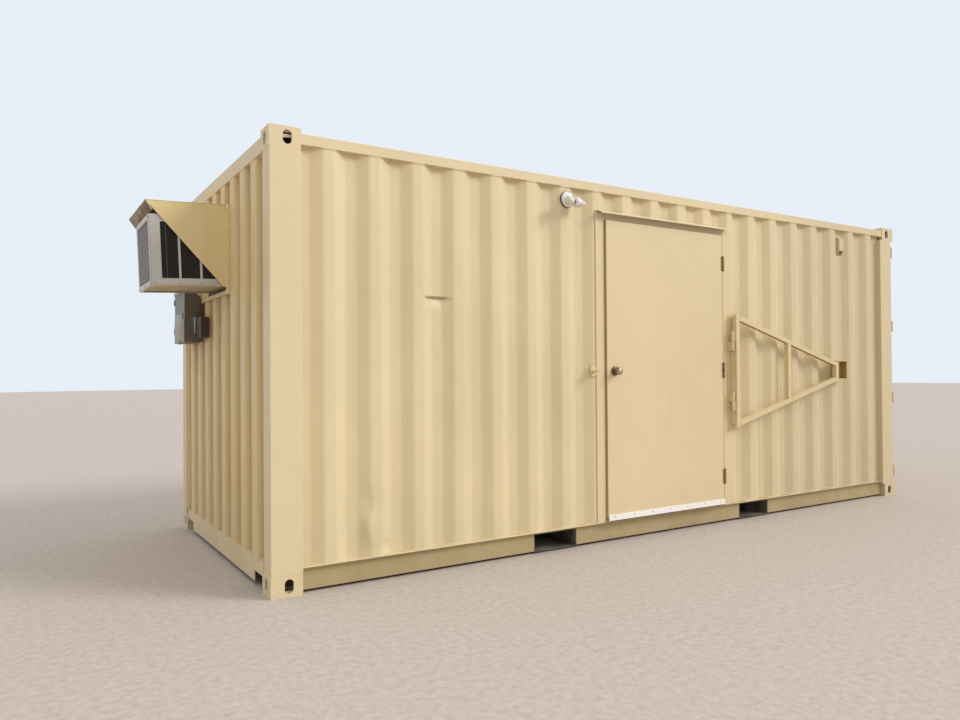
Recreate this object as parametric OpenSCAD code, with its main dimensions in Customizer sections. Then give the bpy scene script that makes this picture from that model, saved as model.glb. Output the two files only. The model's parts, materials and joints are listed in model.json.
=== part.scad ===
// Shipping container cabin: a twenty foot steel container with a personnel door.
// X runs along the container to its cargo doors, -Y is the side with the personnel
// door, and Z is up. The origin is on the ground under the middle of the container.
// All sizes are in millimetres.

/* [Container] */
// Overall length
body_l = 6058; // [5900:1:6200]
// Overall width
body_w = 2438; // [2400:1:2480]
// Overall height
body_h = 2591; // [2500:1:2700]
// Thickness of the wall sheet
sheet_t = 2; // [1.5:0.1:4]
// How far the wall ridges stand back from the posts
wall_inset = 8; // [4:1:20]

/* [Corner castings] */
// Length of a casting
cast_l = 178; // [170:1:190]
// Width of a casting
cast_w = 162; // [155:1:170]
// Height of a casting
cast_h = 118; // [110:1:125]
// Wall thickness of a casting
cast_t = 16; // [12:1:22]

/* [Corrugation] */
// Pitch of the side wall corrugation
side_pitch = 281; // [250:1:300]
// Depth of the side wall corrugation
side_deep = 36; // [20:1:45]
// Width of a side wall ridge
side_ridge = 72; // [50:1:100]
// Width of a sloping face of the side wall
side_slope = 68; // [40:1:80]
// Start of the first whole side wall ridge
side_start = -2722; // [-2840:1:-2620]
// How far the ridges right of the door are shifted against the others
right_shift = -26; // [-60:1:60]
// Pitch of the front wall corrugation
front_pitch = 250; // [200:1:280]
// Depth of the front wall corrugation
front_deep = 45; // [20:1:50]
// Width of a front wall ridge
front_ridge = 110; // [80:1:130]
// Width of a sloping face of the front wall
front_slope = 18; // [10:1:30]
// Pitch of the roof corrugation
roof_pitch = 209; // [180:1:240]
// Depth of the roof corrugation
roof_deep = 20; // [10:1:30]

/* [Personnel door] */
// Left edge of the leaf
leaf_x0 = -652; // [-800:1:-500]
// Width of the leaf
leaf_w = 1214; // [800:1:1250]
// Lower edge of the leaf
leaf_z0 = 176; // [172:1:190]
// Height of the leaf
leaf_h = 2129; // [2000:1:2150]
// Thickness of the leaf
leaf_t = 45; // [35:1:50]
// Gap around the leaf
leaf_gap = 5; // [5:1:8]
// Height of the knob above the ground
knob_z = 1226; // [1100:1:1300]

/* [Security bar] */
// Upper outer corner of the bar's upright
bar_top = 1674; // [1600:1:1700]
// Lower outer corner of the bar's upright
bar_low = 768; // [700:1:850]
// Reach of the bar's frame from its hinge line
bar_reach = 1385; // [1300:1:1450]
// Side of the square tube
bar_tube = 38; // [25:1:40]

/* [Cooling unit] */
// Width of the unit
unit_w = 510; // [450:1:700]
// Height of the unit
unit_h = 445; // [400:1:480]
// How far the unit stands out of the front wall
unit_out = 438; // [380:1:460]
// Slant of the unit, so that it drains outwards
unit_tilt = 2.3; // [0:0.1:4]

/* [Flood light] */
// Place of the light along the wall
light_x = -984; // [-1080:1:-940]
// Height of the light
light_z = 2414; // [2300:1:2440]

/* [Hidden] */

hx = body_l / 2;
hy = body_w / 2;
paint = [0.86, 0.77, 0.60];
shade = [0.72, 0.63, 0.46];
eps = 1;

// Heights of the lower and upper rails
rail_z0 = 17;
lip_z = 150;
lip_t = 5;
top_rail_z0 = 2503;
top_rail_z1 = 2563;
ridge_y = -hy + wall_inset;

// Post and rail ends
front_post_x = -hx + cast_l;
front_post_t = 6;
front_post_w = 129;
rear_post_x0 = 2819;
rear_post_x1 = 2995;
rear_post_t = 8;
rear_post_w = 76;

// Deck and fork pockets
deck_z0 = 130;
deck_t = 28;
pocket_x = [-1080, 975];
pocket_w = 353;
pocket_z0 = 14;
pocket_z1 = 127;
pocket_t = 4;
web_y = hy - 38;

// Depth of the side corrugation at a place along the wall
function side_u(x) = (x - side_start) - side_pitch * floor((x - side_start) / side_pitch);
function side_depth(x) = let (u = side_u(x))
    u <= side_ridge ? 0 :
    u <= side_ridge + side_slope ? side_deep * (u - side_ridge) / side_slope :
    u <= side_pitch - side_slope ? side_deep :
    side_deep * (side_pitch - u) / side_slope;
side_steps = [0, side_ridge, side_ridge + side_slope, side_pitch - side_slope];
function side_breaks(a, b) = concat([a],
    [for (k = [-1:22]) for (s = side_steps) let (x = side_start + k * side_pitch + s)
        if (x > a + eps && x < b - eps) x], [b]);

// Corrugated sheet from a to b along X, with its outer face to -Y, standing on z0
module side_sheet(a, b, z0, z1, shift = 0) {
    xs = side_breaks(a - shift, b - shift);
    n = len(xs);
    outer = [for (x = xs) [x, ridge_y + side_depth(x)]];
    inner = [for (i = [n - 1:-1:0]) [xs[i], ridge_y + side_depth(xs[i]) + sheet_t]];
    translate([shift, 0, z0]) linear_extrude(z1 - z0) polygon(concat(outer, inner));
}

// One part repeated on both long sides
module both_sides() {
    children();
    mirror([0, 1, 0]) children();
}

// A hole with round ends, of a given width and height, along Y
module upright_slot_y(w, h, depth) {
    rotate([90, 0, 0]) linear_extrude(depth, center = true) {
        translate([0, (h - w) / 2]) circle(d = w, $fn = 48);
        translate([0, -(h - w) / 2]) circle(d = w, $fn = 48);
        square([w, h - w], center = true);
    }
}

// A corner casting in the corner at -X, -Y, with its twist-lock face down
slot_at = [102.5, 89.5];
slot_r = 31.75;
slot_straight = 61;
hole_w = 51;
hole_h = 79;
face_t = 28;
module casting() {
    cut = 60;
    side_hole_x = 101.5;
    end_hole_y = 89;
    difference() {
        translate([-hx, -hy, 0]) cube([cast_l, cast_w, cast_h]);
        translate([-hx + cast_t, -hy + cast_t, face_t])
            cube([cast_l - 2 * cast_t, cast_w - 2 * cast_t, cast_h - face_t - cast_t]);
        translate([-hx + slot_at[0], -hy + slot_at[1], 0]) linear_extrude(cut, center = true) {
            for (s = [-1, 1]) translate([s * slot_straight / 2, 0]) circle(r = slot_r, $fn = 64);
            square([slot_straight, 2 * slot_r], center = true);
        }
        translate([-hx + side_hole_x, -hy, cast_h / 2]) upright_slot_y(hole_w, hole_h, cut);
        translate([-hx, -hy + end_hole_y, cast_h / 2]) rotate([0, 0, 90])
            upright_slot_y(hole_w, hole_h, cut);
    }
}

module four_castings() {
    casting();
    mirror([0, 1, 0]) casting();
    mirror([1, 0, 0]) casting();
    mirror([1, 0, 0]) mirror([0, 1, 0]) casting();
}

module bottom_castings() {
    color(paint) four_castings();
}

module top_castings() {
    color(paint) translate([0, 0, body_h]) mirror([0, 0, 1]) four_castings();
}

// Pressed corner posts, open towards the room
module front_posts() {
    t = front_post_t;
    end_w = front_post_w;
    back_w = 60;
    return_l = 70;
    color(paint) both_sides() translate([0, 0, cast_h]) linear_extrude(body_h - 2 * cast_h)
        union() {
            translate([-hx, -hy]) square([front_post_x + hx, t]);
            translate([-hx, -hy]) square([t, end_w]);
            translate([front_post_x - t, -hy]) square([t, back_w]);
            translate([-hx, -hy + end_w - t]) square([return_l, t]);
        }
}

module rear_posts() {
    t = rear_post_t;
    end_w = rear_post_w;
    back_w = 60;
    return_l = 60;
    color(paint) both_sides() translate([0, 0, cast_h]) linear_extrude(body_h - 2 * cast_h)
        union() {
            translate([rear_post_x0, -hy]) square([rear_post_x1 - rear_post_x0, t]);
            translate([rear_post_x1 - t, -hy]) square([t, end_w]);
            translate([rear_post_x0, -hy]) square([t, back_w]);
            translate([rear_post_x1 - return_l, -hy + end_w - t]) square([return_l, t]);
        }
}

// Folded bottom rails: a lip on top, a web set back, and a foot turned inwards
module bottom_side_rails() {
    x0 = -hx + cast_l;
    len = body_l - 2 * cast_l;
    foot_w = 40;
    lip_w = 44;
    cut = 60;
    color(paint) both_sides() difference() {
        translate([x0, 0, 0]) rotate([90, 0, 90]) linear_extrude(len) union() {
            translate([-hy + 2, lip_z - lip_t]) square([lip_w, lip_t]);
            translate([-web_y, rail_z0]) square([lip_t, lip_z - rail_z0]);
            translate([-web_y, rail_z0]) square([foot_w, lip_t]);
        }
        for (x = pocket_x) translate([x - pocket_w / 2 - pocket_t, -web_y - 1, 0])
            cube([pocket_w + 2 * pocket_t, cut, deck_z0]);
        translate([rear_post_x0, -hy, cast_h]) cube([cut, cut, cut]);
    }
}

module top_side_rails() {
    x0 = -hx + cast_l;
    len = body_l - 2 * cast_l;
    side = top_rail_z1 - top_rail_z0;
    t = 3;
    color(paint) both_sides() translate([x0, -hy + 4, top_rail_z0]) difference() {
        cube([len, side, side]);
        translate([-1, t, t]) cube([len + 2, side - 2 * t, side - 2 * t]);
    }
}

// Front sill: a deep plate with notches beside the castings
end_y = hy - cast_w;
end_inset = 6;
front_sill_z1 = 160;
module front_sill() {
    t = 6;
    low = 28;
    ledge = 48;
    notch_y = 965;
    notch_w = 190;
    notch_top = 89;
    color(paint) translate([-hx + end_inset, 0, 0]) difference() {
        union() {
            translate([0, -end_y, low]) cube([t, 2 * end_y, front_sill_z1 - low]);
            translate([0, -end_y, front_sill_z1 - t]) cube([ledge, 2 * end_y, t]);
        }
        for (s = [-1, 1]) translate([-eps, s * notch_y - notch_w / 2, low - eps])
            cube([t + 2 * eps, notch_w, notch_top - low + eps]);
    }
}

header_z0 = body_h - cast_h;
module front_header() {
    t = 4;
    deep = 60;
    high = top_rail_z1 - header_z0;
    color(paint) translate([-hx + end_inset, -end_y, header_z0]) difference() {
        cube([deep, 2 * end_y, high]);
        translate([t, -eps, t]) cube([deep - 2 * t, 2 * end_y + 2 * eps, high - 2 * t]);
    }
}

// The rear frame ends flush with the shut cargo doors
rear_x = 2905;
rear_sill_z0 = 20;
rear_sill_z1 = 158;
module rear_sill() {
    t = 6;
    deep = cargo_x0 + cargo_t - rear_x;
    wing_y = hy - rear_post_w;
    color(paint) translate([rear_x, 0, 0]) difference() {
        union() {
            translate([0, -end_y, rear_sill_z0]) cube([deep, 2 * end_y, rear_sill_z1 - rear_sill_z0]);
            translate([0, -wing_y, cast_h]) cube([deep, 2 * wing_y, rear_sill_z1 - cast_h]);
        }
        translate([-eps, -end_y - eps, rear_sill_z0 + t])
            cube([deep - t + eps, 2 * end_y + 2 * eps, cast_h - rear_sill_z0 - 2 * t]);
    }
}

rear_header_z0 = 2480;
module rear_header() {
    t = 5;
    deep = cargo_x0 + cargo_t - rear_x;
    high = top_rail_z1 - rear_header_z0;
    color(paint) translate([rear_x, -end_y, rear_header_z0]) difference() {
        cube([deep, 2 * end_y, high]);
        translate([t, -eps, t]) cube([deep - 2 * t, 2 * end_y + 2 * eps, high - 2 * t]);
    }
}

// The near wall, split beside and over the personnel door
frame_x0 = -736;
frame_x1 = 700;
frame_top = 2372;
casing_lap = 18;
panel_x0 = frame_x0 + casing_lap;
panel_x1 = frame_x1 - casing_lap;
panel_top = frame_top - casing_lap;

module near_wall_left() {
    color(paint) side_sheet(front_post_x, panel_x0, lip_z, top_rail_z0);
}

module near_wall_right() {
    color(paint) side_sheet(panel_x1, rear_post_x0, lip_z, top_rail_z0, right_shift);
}

module near_wall_over_door() {
    color(paint) side_sheet(panel_x0, panel_x1, panel_top, top_rail_z0);
}

module far_wall() {
    color(paint) mirror([0, 1, 0]) side_sheet(front_post_x, rear_post_x0, lip_z, top_rail_z0);
}

// The front wall: square corrugation, with an opening for the cooling unit
front_x = -hx + wall_inset;
front_y0 = -1090;
front_start = -862 - front_ridge / 2;
function front_u(y) = (y - front_start) - front_pitch * floor((y - front_start) / front_pitch);
function front_depth(y) = let (u = front_u(y))
    u <= front_ridge ? 0 :
    u <= front_ridge + front_slope ? front_deep * (u - front_ridge) / front_slope :
    u <= front_pitch - front_slope ? front_deep :
    front_deep * (front_pitch - u) / front_slope;
front_steps = [0, front_ridge, front_ridge + front_slope, front_pitch - front_slope];
open_y0 = -238;
open_y1 = 288;
open_z0 = 1772;
open_z1 = 2310;

module front_wall() {
    ys = concat([front_y0], [for (k = [-1:9]) for (s = front_steps)
        let (y = front_start + k * front_pitch + s) if (y > front_y0 + eps && y < -front_y0 - eps) y],
        [-front_y0]);
    n = len(ys);
    outer = [for (y = ys) [front_x + front_depth(y), y]];
    inner = [for (i = [n - 1:-1:0]) [front_x + front_depth(ys[i]) + sheet_t, ys[i]]];
    color(shade) difference() {
        translate([0, 0, front_sill_z1]) linear_extrude(header_z0 - front_sill_z1)
            polygon(concat(outer, inner));
        translate([front_x - 10, open_y0, open_z0])
            cube([80, open_y1 - open_y0, open_z1 - open_z0]);
    }
}

// Roof sheet with low ridges across the container, which slope down at both ends
roof_x0 = -hx + cast_l + 112;
roof_x1 = hx - cast_l - 112;
roof_y = hy - 20;
ridge_foot = [60, 168];
ridge_top = [78, 150];
ridge_foot_y = 1175;
ridge_top_y = 1140;

// All the ridges as solid bars that stand on a height
module roof_ridges(z) {
    n = floor((roof_x1 - roof_x0) / roof_pitch);
    first = roof_x0 + (roof_x1 - roof_x0 - n * roof_pitch) / 2;
    intersection() {
        rotate([90, 0, 0]) linear_extrude(2 * ridge_foot_y, center = true)
            for (k = [0:n - 1]) translate([first + k * roof_pitch, z])
                polygon([[ridge_foot[0], -eps], [ridge_foot[0], 0], [ridge_top[0], roof_deep],
                    [ridge_top[1], roof_deep], [ridge_foot[1], 0], [ridge_foot[1], -eps]]);
        rotate([90, 0, 90]) linear_extrude(2 * roof_x1, center = true) translate([0, z])
            polygon([[-ridge_foot_y, -eps], [-ridge_foot_y, 0], [-ridge_top_y, roof_deep],
                [ridge_top_y, roof_deep], [ridge_foot_y, 0], [ridge_foot_y, -eps]]);
    }
}

module roof_panel() {
    color(paint) difference() {
        union() {
            translate([roof_x0, -roof_y, top_rail_z1])
                cube([roof_x1 - roof_x0, 2 * roof_y, sheet_t]);
            roof_ridges(top_rail_z1 + sheet_t);
        }
        roof_ridges(top_rail_z1);
    }
}

module roof_end_plates() {
    back = 30;
    t = 4;
    color(paint) for (s = [-1, 1]) scale([s, 1, 1]) difference() {
        translate([-hx + back, -roof_y, top_rail_z1]) cube([roof_x0 + hx - back, 2 * roof_y, t]);
        for (side = [-1, 1])
            translate([-hx - eps, side * (hy - cast_w / 2) - cast_w / 2, top_rail_z1 - eps])
            cube([cast_l + eps, cast_w, t + 2 * eps]);
    }
}

// Plywood deck on steel cross members
deck_x0 = -2955;
deck_x1 = 2903;
deck_y = 1157;
module floor_deck() {
    color([0.45, 0.33, 0.22]) translate([deck_x0, -deck_y, deck_z0])
        cube([deck_x1 - deck_x0, 2 * deck_y, deck_t]);
}

module cross_members() {
    room = 240;
    xs = [for (x = [-2790:300:2790])
        if (abs(x - pocket_x[0]) > room && abs(x - pocket_x[1]) > room) x];
    t = 4;
    low = 25;
    flange = 45;
    inset = 40;
    color(shade) for (x = xs) translate([x, -web_y + inset, 0]) {
        len = 2 * (web_y - inset);
        translate([0, 0, low]) cube([t, len, deck_z0 - low]);
        translate([0, 0, low]) cube([flange, len, t]);
        translate([0, 0, deck_z0 - t]) cube([flange, len, t]);
    }
}

module fork_pockets() {
    t = pocket_t;
    strap_l = 200;
    low = pocket_z0 - 3;
    wide = pocket_w + 2 * t;
    color(shade) for (x = pocket_x) translate([x - wide / 2, -web_y, 0]) union() {
        translate([0, 0, low]) cube([t, 2 * web_y, deck_z0 - low]);
        translate([wide - t, 0, low]) cube([t, 2 * web_y, deck_z0 - low]);
        translate([0, 0, pocket_z1]) cube([wide, 2 * web_y, deck_z0 - pocket_z1]);
        translate([0, 0, low]) cube([wide, strap_l, 3]);
        translate([0, 2 * web_y - strap_l, low]) cube([wide, strap_l, 3]);
    }
}

// Cargo doors, shut, with a frame of flat tube and a ribbed panel
cargo_x0 = 2938;
cargo_t = 50;
cargo_z0 = 164;
cargo_z1 = 2472;
cargo_w = 1130;
module cargo_leaf() {
    edge = 100;
    groove_deep = 32;
    groove_w = 240;
    groove_step = 320;
    gap = 6;
    back = 11;
    high = cargo_z1 - cargo_z0;
    color(shade) translate([cargo_x0, gap, cargo_z0]) difference() {
        cube([cargo_t, cargo_w, high]);
        for (k = [0:2])
            translate([cargo_t - groove_deep, edge + 20 + k * groove_step, edge + 30])
            cube([groove_deep + eps, groove_w, high - 2 * edge - 60]);
        translate([-eps, edge, edge]) cube([back + eps, cargo_w - 2 * edge, high - 2 * edge]);
    }
}

module cargo_door_left() {
    mirror([0, 1, 0]) cargo_leaf();
}

module cargo_door_right() {
    cargo_leaf();
}

hinge_z = [239, 947, 1644, 2364];
module cargo_hinges() {
    face = cargo_x0 + cargo_t;
    pin = [3008, -hy + 60];
    high = 80;
    strap_h = 64;
    link_h = 60;
    color(shade) both_sides() for (z = hinge_z) translate([0, 0, z]) {
        translate([face, -hy + rear_post_w, -strap_h / 2]) cube([9, 190, strap_h]);
        translate([pin[0], pin[1], -high / 2]) cylinder(h = high, d = 26, $fn = 32);
        translate([rear_post_x1, pin[1] - 40, -high / 2]) cube([10, 52, high]);
        translate([rear_post_x1, pin[1] - 4, -link_h / 2]) cube([12, 40, link_h]);
    }
}

rod_y = [190, 900];
rod_x = 3006;
rod_d = 32;
rod_z0 = 150;
rod_z1 = 2490;
module lock_rods() {
    color(shade) both_sides() for (y = rod_y) translate([rod_x, y, rod_z0])
        cylinder(h = rod_z1 - rod_z0, d = rod_d, $fn = 32);
}

module lock_gear() {
    face = cargo_x0 + cargo_t;
    guide = [32, 90, 60];
    color(shade) both_sides() for (y = rod_y) {
        for (z = [420, 1180, 2180]) translate([face, y - guide[1] / 2, z]) difference() {
            cube(guide);
            translate([rod_x - face, guide[1] / 2, -eps])
                cylinder(h = guide[2] + 2 * eps, d = rod_d + 2, $fn = 32);
        }
        translate([rod_x + rod_d / 2, y - 30, 1020]) cube([5, 330, 34]);
    }
}

// Pressed steel door frame with a stop, casings and a threshold
frame_y0 = -1219;
frame_y1 = -1160;
leaf_y0 = -1237;
stop_w = 18;
module door_frame() {
    x0 = leaf_x0 - leaf_gap;
    x1 = leaf_x0 + leaf_w + leaf_gap;
    z1 = leaf_z0 + leaf_h + leaf_gap;
    cover = -frame_y0 + ridge_y - 1;
    deep = frame_y1 - frame_y0;
    jamb_h = panel_top - lip_z;
    casing_h = frame_top - lip_z;
    stop_y = leaf_y0 + leaf_t + leaf_gap;
    stop_t = frame_y1 - stop_y;
    stop_h = z1 - lip_z + eps;
    sill = 16;
    sill_in = 10;
    color(paint) union() {
        translate([frame_x0, frame_y0, lip_z]) cube([x0 - frame_x0, cover, casing_h]);
        translate([x1, frame_y0, lip_z]) cube([frame_x1 - x1, cover, casing_h]);
        translate([frame_x0, frame_y0, z1]) cube([frame_x1 - frame_x0, cover, frame_top - z1]);
        translate([panel_x0, frame_y0, lip_z]) cube([x0 - panel_x0, deep, jamb_h]);
        translate([x1, frame_y0, lip_z]) cube([panel_x1 - x1, deep, jamb_h]);
        translate([panel_x0, frame_y0, z1]) cube([panel_x1 - panel_x0, deep, panel_top - z1]);
        translate([x0 - eps, stop_y, lip_z]) cube([stop_w, stop_t, stop_h]);
        translate([x1 - stop_w + eps, stop_y, lip_z]) cube([stop_w, stop_t, stop_h]);
        translate([x0 - eps, stop_y, z1 - stop_w])
            cube([x1 - x0 + 2 * eps, stop_t, stop_w + eps]);
        translate([x0 - eps, frame_y0 + sill_in, lip_z])
            cube([x1 - x0 + 2 * eps, deep - sill_in, sill]);
    }
}

// A thin sloping plate with a lip, mitred at both ends
cap_x0 = -724;
cap_x1 = 624;
module drip_cap() {
    t = 2;
    out = 53;
    fall = 19;
    lip = 10;
    mitre = 90;
    color(paint) translate([0, frame_y0, frame_top]) difference() {
        rotate([90, 0, 90]) translate([0, 0, cap_x0]) linear_extrude(cap_x1 - cap_x0)
            polygon([[0, 0], [-out, -fall], [-out, -fall - lip], [-out + t, -fall - lip],
                [-out + t, -fall - t], [0, -t]]);
        translate([cap_x0, 0, 0]) rotate([0, 0, -45]) translate([-mitre, -mitre, -mitre])
            cube([mitre, mitre, 2 * mitre]);
        translate([cap_x1, 0, 0]) rotate([0, 0, 45]) translate([0, -mitre, -mitre])
            cube([mitre, mitre, 2 * mitre]);
    }
}

module door_leaf() {
    color(paint) translate([leaf_x0, leaf_y0, leaf_z0]) cube([leaf_w, leaf_t, leaf_h]);
}

module door_sweep() {
    side = 4;
    t = 6;
    below = 20;
    high = 45;
    color([0.8, 0.8, 0.78]) translate([leaf_x0 + side, leaf_y0 - t, leaf_z0 - below])
        cube([leaf_w - 2 * side, t, high]);
}

// Hinge line of the personnel door
pin_x = leaf_x0 + leaf_w + leaf_gap / 2;
pin_y = leaf_y0 - 6;
pin_d = 13;
knuckle_h = 37;
plate_h = 3 * knuckle_h + 2;
plate_w = 15;
door_hinge_z = [382, 1226, 2077];

// The middle knuckles and the plates on the leaf
module door_hinges() {
    to_leaf = leaf_y0 - pin_y;
    clear_x = pin_d / 2 + 1.5;
    color(paint) for (z = door_hinge_z) translate([pin_x, pin_y, z]) union() {
        translate([0, 0, -knuckle_h / 2]) cylinder(h = knuckle_h, d = pin_d, $fn = 32);
        translate([-clear_x, 0, -knuckle_h / 2]) cube([clear_x - 2, to_leaf, knuckle_h]);
        translate([-clear_x - plate_w, to_leaf - 2, -plate_h / 2]) cube([plate_w, 2, plate_h]);
    }
}

// The upper and lower knuckles and the plates on the frame
module frame_hinges() {
    to_frame = frame_y0 - pin_y;
    color(paint) for (z = door_hinge_z) translate([pin_x, pin_y, z]) union() {
        for (s = [-1, 1]) translate([0, 0, s * (knuckle_h + 1) - knuckle_h / 2]) {
            cylinder(h = knuckle_h, d = pin_d, $fn = 32);
            translate([3, 0, 0]) cube([4, to_frame, knuckle_h]);
        }
        translate([5, to_frame - 2, -plate_h / 2]) cube([plate_w, 2, plate_h]);
    }
}

// Round knob on a rose; the outline gives radius and distance from the rose
knob_x = leaf_x0 + 70;
rose_t = 12;
knob_outline = [[0, 0], [13, 0], [11, 6], [11, 20], [20, 24], [27, 32], [28, 40], [25, 48], [18, 52],
    [0, 53]];
module knob_rose() {
    color([0.35, 0.32, 0.27]) translate([knob_x, leaf_y0, knob_z]) rotate([90, 0, 0])
        cylinder(h = rose_t, d = 66, $fn = 64);
}

module door_knob() {
    color([0.3, 0.27, 0.22]) translate([knob_x, leaf_y0 - rose_t, knob_z]) rotate([90, 0, 0])
        rotate_extrude($fn = 64) polygon(knob_outline);
}

// Swinging security bar, folded back against the wall
swing_x = 645;
swing_y = -1262;
bar_x0 = swing_x + 22;
bar_x1 = swing_x + bar_reach;
tip_top = 1284;
tip_low = 1128;
swing_z = [1455, 972];
outer_side = [1, -1];
barrel_h = 72;
barrel_d = 24;
barrel_gap = 0.5;
tongue_t = 10;

// Foot of a barrel above (1) or below (-1) the middle of a hinge
function barrel_z(i, side) = swing_z[i] + (side > 0 ? barrel_gap : -barrel_h - barrel_gap);

// A flat bar between two points of the frame's own plane
module bar_between(a, b, c, d) {
    rotate([90, 0, 0]) linear_extrude(bar_tube, center = true) polygon([a, b, c, d]);
}

module bar_frame() {
    w = bar_tube;
    x0 = bar_x0;
    x1 = bar_x1;
    strut_x = 1319;
    strut_z = [960, 1460];
    color(paint) translate([0, swing_y, 0]) union() {
        bar_between([x0, bar_low], [x0 + w, bar_low], [x0 + w, bar_top], [x0, bar_top]);
        bar_between([x0, bar_top - w], [x1, tip_top - w], [x1, tip_top], [x0, bar_top]);
        bar_between([x0, bar_low], [x1, tip_low], [x1, tip_low + w], [x0, bar_low + w]);
        bar_between([x1 - w, tip_low], [x1, tip_low], [x1, tip_top], [x1 - w, tip_top]);
        bar_between([strut_x, strut_z[0]], [strut_x + w, strut_z[0]],
            [strut_x + w, strut_z[1]], [strut_x, strut_z[1]]);
        for (i = [0, 1]) translate([swing_x, 0, barrel_z(i, outer_side[i])]) {
            cylinder(h = barrel_h, d = barrel_d, $fn = 48);
            translate([0, -tongue_t / 2, 0]) cube([x0 - swing_x + 2, tongue_t, barrel_h]);
        }
    }
}

module bar_lock_box() {
    t = 3;
    wide = 123;
    deep = 57;
    high = 160;
    color(paint) translate([bar_x1, swing_y - 21, 1140]) difference() {
        cube([wide, deep, high]);
        translate([t, -1, t]) cube([wide - 2 * t, deep - t + 1, high - 2 * t]);
    }
}

module bar_mount() {
    t = 3;
    y = frame_y0 - t;
    color(paint) union() {
        translate([swing_x - 15, y, 743]) cube([60, t, 932]);
        for (i = [0, 1]) translate([swing_x, swing_y, barrel_z(i, -outer_side[i])]) {
            cylinder(h = barrel_h, d = barrel_d, $fn = 48);
            translate([-tongue_t / 2, 0, 0]) cube([tongue_t, y - swing_y + eps, barrel_h]);
        }
    }
}

module lock_staple() {
    color(paint) translate([-785, ridge_y - 6, 1190]) {
        cube([46, 6, 75]);
        difference() {
            translate([12, -70, 30]) cube([22, 71, 14]);
            translate([17, -63, 20]) cube([12, 40, 34]);
        }
    }
}

// Sheet hood over the cooling unit
hood_out = 480;
hood_z0 = 1797;
hood_z1 = 2307;
hood_rise = 19;
hood_y1 = 498;
module hood_side(y) {
    t = 3;
    translate([-hx, y, 0]) rotate([90, 0, 0]) linear_extrude(t)
        polygon([[0, hood_z0 - 6], [-20, hood_z0], [-hood_out, hood_z1], [0, hood_z1 + hood_rise]]);
}

module unit_hood() {
    t = 3;
    lap = 2;
    fall = 60;
    run = 40;
    top = hood_z1 + hood_rise;
    color(shade) union() {
        hood_side(open_y0 - lap + t);
        hood_side(hood_y1 + lap);
        translate([-hx, hood_y1 + lap, 0]) rotate([90, 0, 0])
            linear_extrude(hood_y1 - open_y0 + 2 * lap)
            polygon([[0, top], [-hood_out, hood_z1], [-hood_out, hood_z1 - t], [0, top - t]]);
        translate([-hx, hood_y1 + lap, 0]) rotate([90, 0, 0])
            linear_extrude(hood_y1 - open_y0 + 2 * lap)
            polygon([[-hood_out, hood_z1], [-hood_out + run, hood_z1 - fall],
                [-hood_out + run + t + 1, hood_z1 - fall + 2], [-hood_out + t + 1, hood_z1 + 1]]);
    }
}

// Flat plate under the hood round the opening, with a leg that closes the groove beside it
module unit_frame() {
    w = 60;
    below = 30;
    above = 16;
    leg_t = 3;
    leg_deep = 22;
    high = open_z1 - open_z0;
    color(shade) translate([-hx, 0, 0]) union() {
        difference() {
            translate([0, open_y0 - w, open_z0 - below])
                cube([wall_inset, hood_y1 - open_y0 + 2 * w, high + below + above]);
            translate([-eps, open_y0, open_z0])
                cube([wall_inset + 2 * eps, open_y1 - open_y0, high]);
        }
        translate([wall_inset - eps, open_y0 - w, open_z0 - below])
            cube([leg_deep, leg_t, high + below + above]);
    }
}

// The cooling unit, slanted outwards; its parts are drawn in its own level frame
unit_y0 = -230;
unit_z0 = 1797;
unit_in = 150;
module slanted() {
    translate([-hx, unit_y0, unit_z0]) rotate([0, -unit_tilt, 0]) children();
}

// Three windows in each side of the unit's case, the outermost one narrower; face_ is the front's
win_x = 47;
win_step = 126;
win_w = 112;
win_less = 12;
win_z = 46;
face_y = 28;
face_z = 34;
module unit_windows(grow, y0, y1) {
    h = unit_h - 2 * win_z;
    for (k = [0:2]) {
        less = k == 0 ? win_less : 0;
        translate([-unit_out + win_x + k * win_step + less - grow, y0, win_z - grow])
            cube([win_w - less + 2 * grow, y1 - y0, h + 2 * grow]);
    }
}

// The case stands on a narrow rim, and its base pan lies above this
pan_z = 10;
module unit_body() {
    t = 3;
    rim = 14;
    color([0.72, 0.72, 0.70]) slanted() difference() {
        translate([-unit_out, 0, 0]) cube([unit_out + unit_in, unit_w, unit_h]);
        translate([-unit_out + t, t, t])
            cube([unit_out + unit_in - 2 * t, unit_w - 2 * t, unit_h - 2 * t]);
        translate([-unit_out + rim, rim, -eps])
            cube([unit_out + unit_in - 2 * rim, unit_w - 2 * rim, t + 2 * eps]);
        unit_windows(0, -eps, unit_w + eps);
        translate([-unit_out - eps, face_y, face_z])
            cube([10, unit_w - 2 * face_y, unit_h - 2 * face_z]);
    }
}

module unit_grilles() {
    t = 3;
    thick = 6;
    lap = 6;
    color([0.2, 0.2, 0.2]) slanted() {
        unit_windows(lap, t, t + thick);
        unit_windows(lap, unit_w - t - thick, unit_w - t);
        translate([-unit_out + t, face_y - lap, face_z - lap])
            cube([thick, unit_w - 2 * face_y + 2 * lap, unit_h - 2 * face_z + 2 * lap]);
    }
}

module unit_tray() {
    t = 3;
    color(shade) slanted() translate([-unit_out + t, t, pan_z])
        cube([unit_out + unit_in - 2 * t, unit_w - 2 * t, t]);
}

// Fused switch with a side handle, and the small box beside it. The switch's backboard ends
// below the plate that surrounds the opening
switch_y0 = 524;
switch_w = 380;
switch_z0 = 1458;
switch_h = 385;
switch_d = 108;
switch_x = -3035;
module switch_box() {
    inset = 3;
    board_h = 279;
    color([0.42, 0.40, 0.37]) union() {
        translate([switch_x - switch_d, switch_y0, switch_z0]) cube([switch_d, switch_w, switch_h]);
        translate([switch_x, switch_y0 + inset, switch_z0 + inset])
            cube([front_x - switch_x, switch_w - 2 * inset, board_h]);
    }
}

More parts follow.
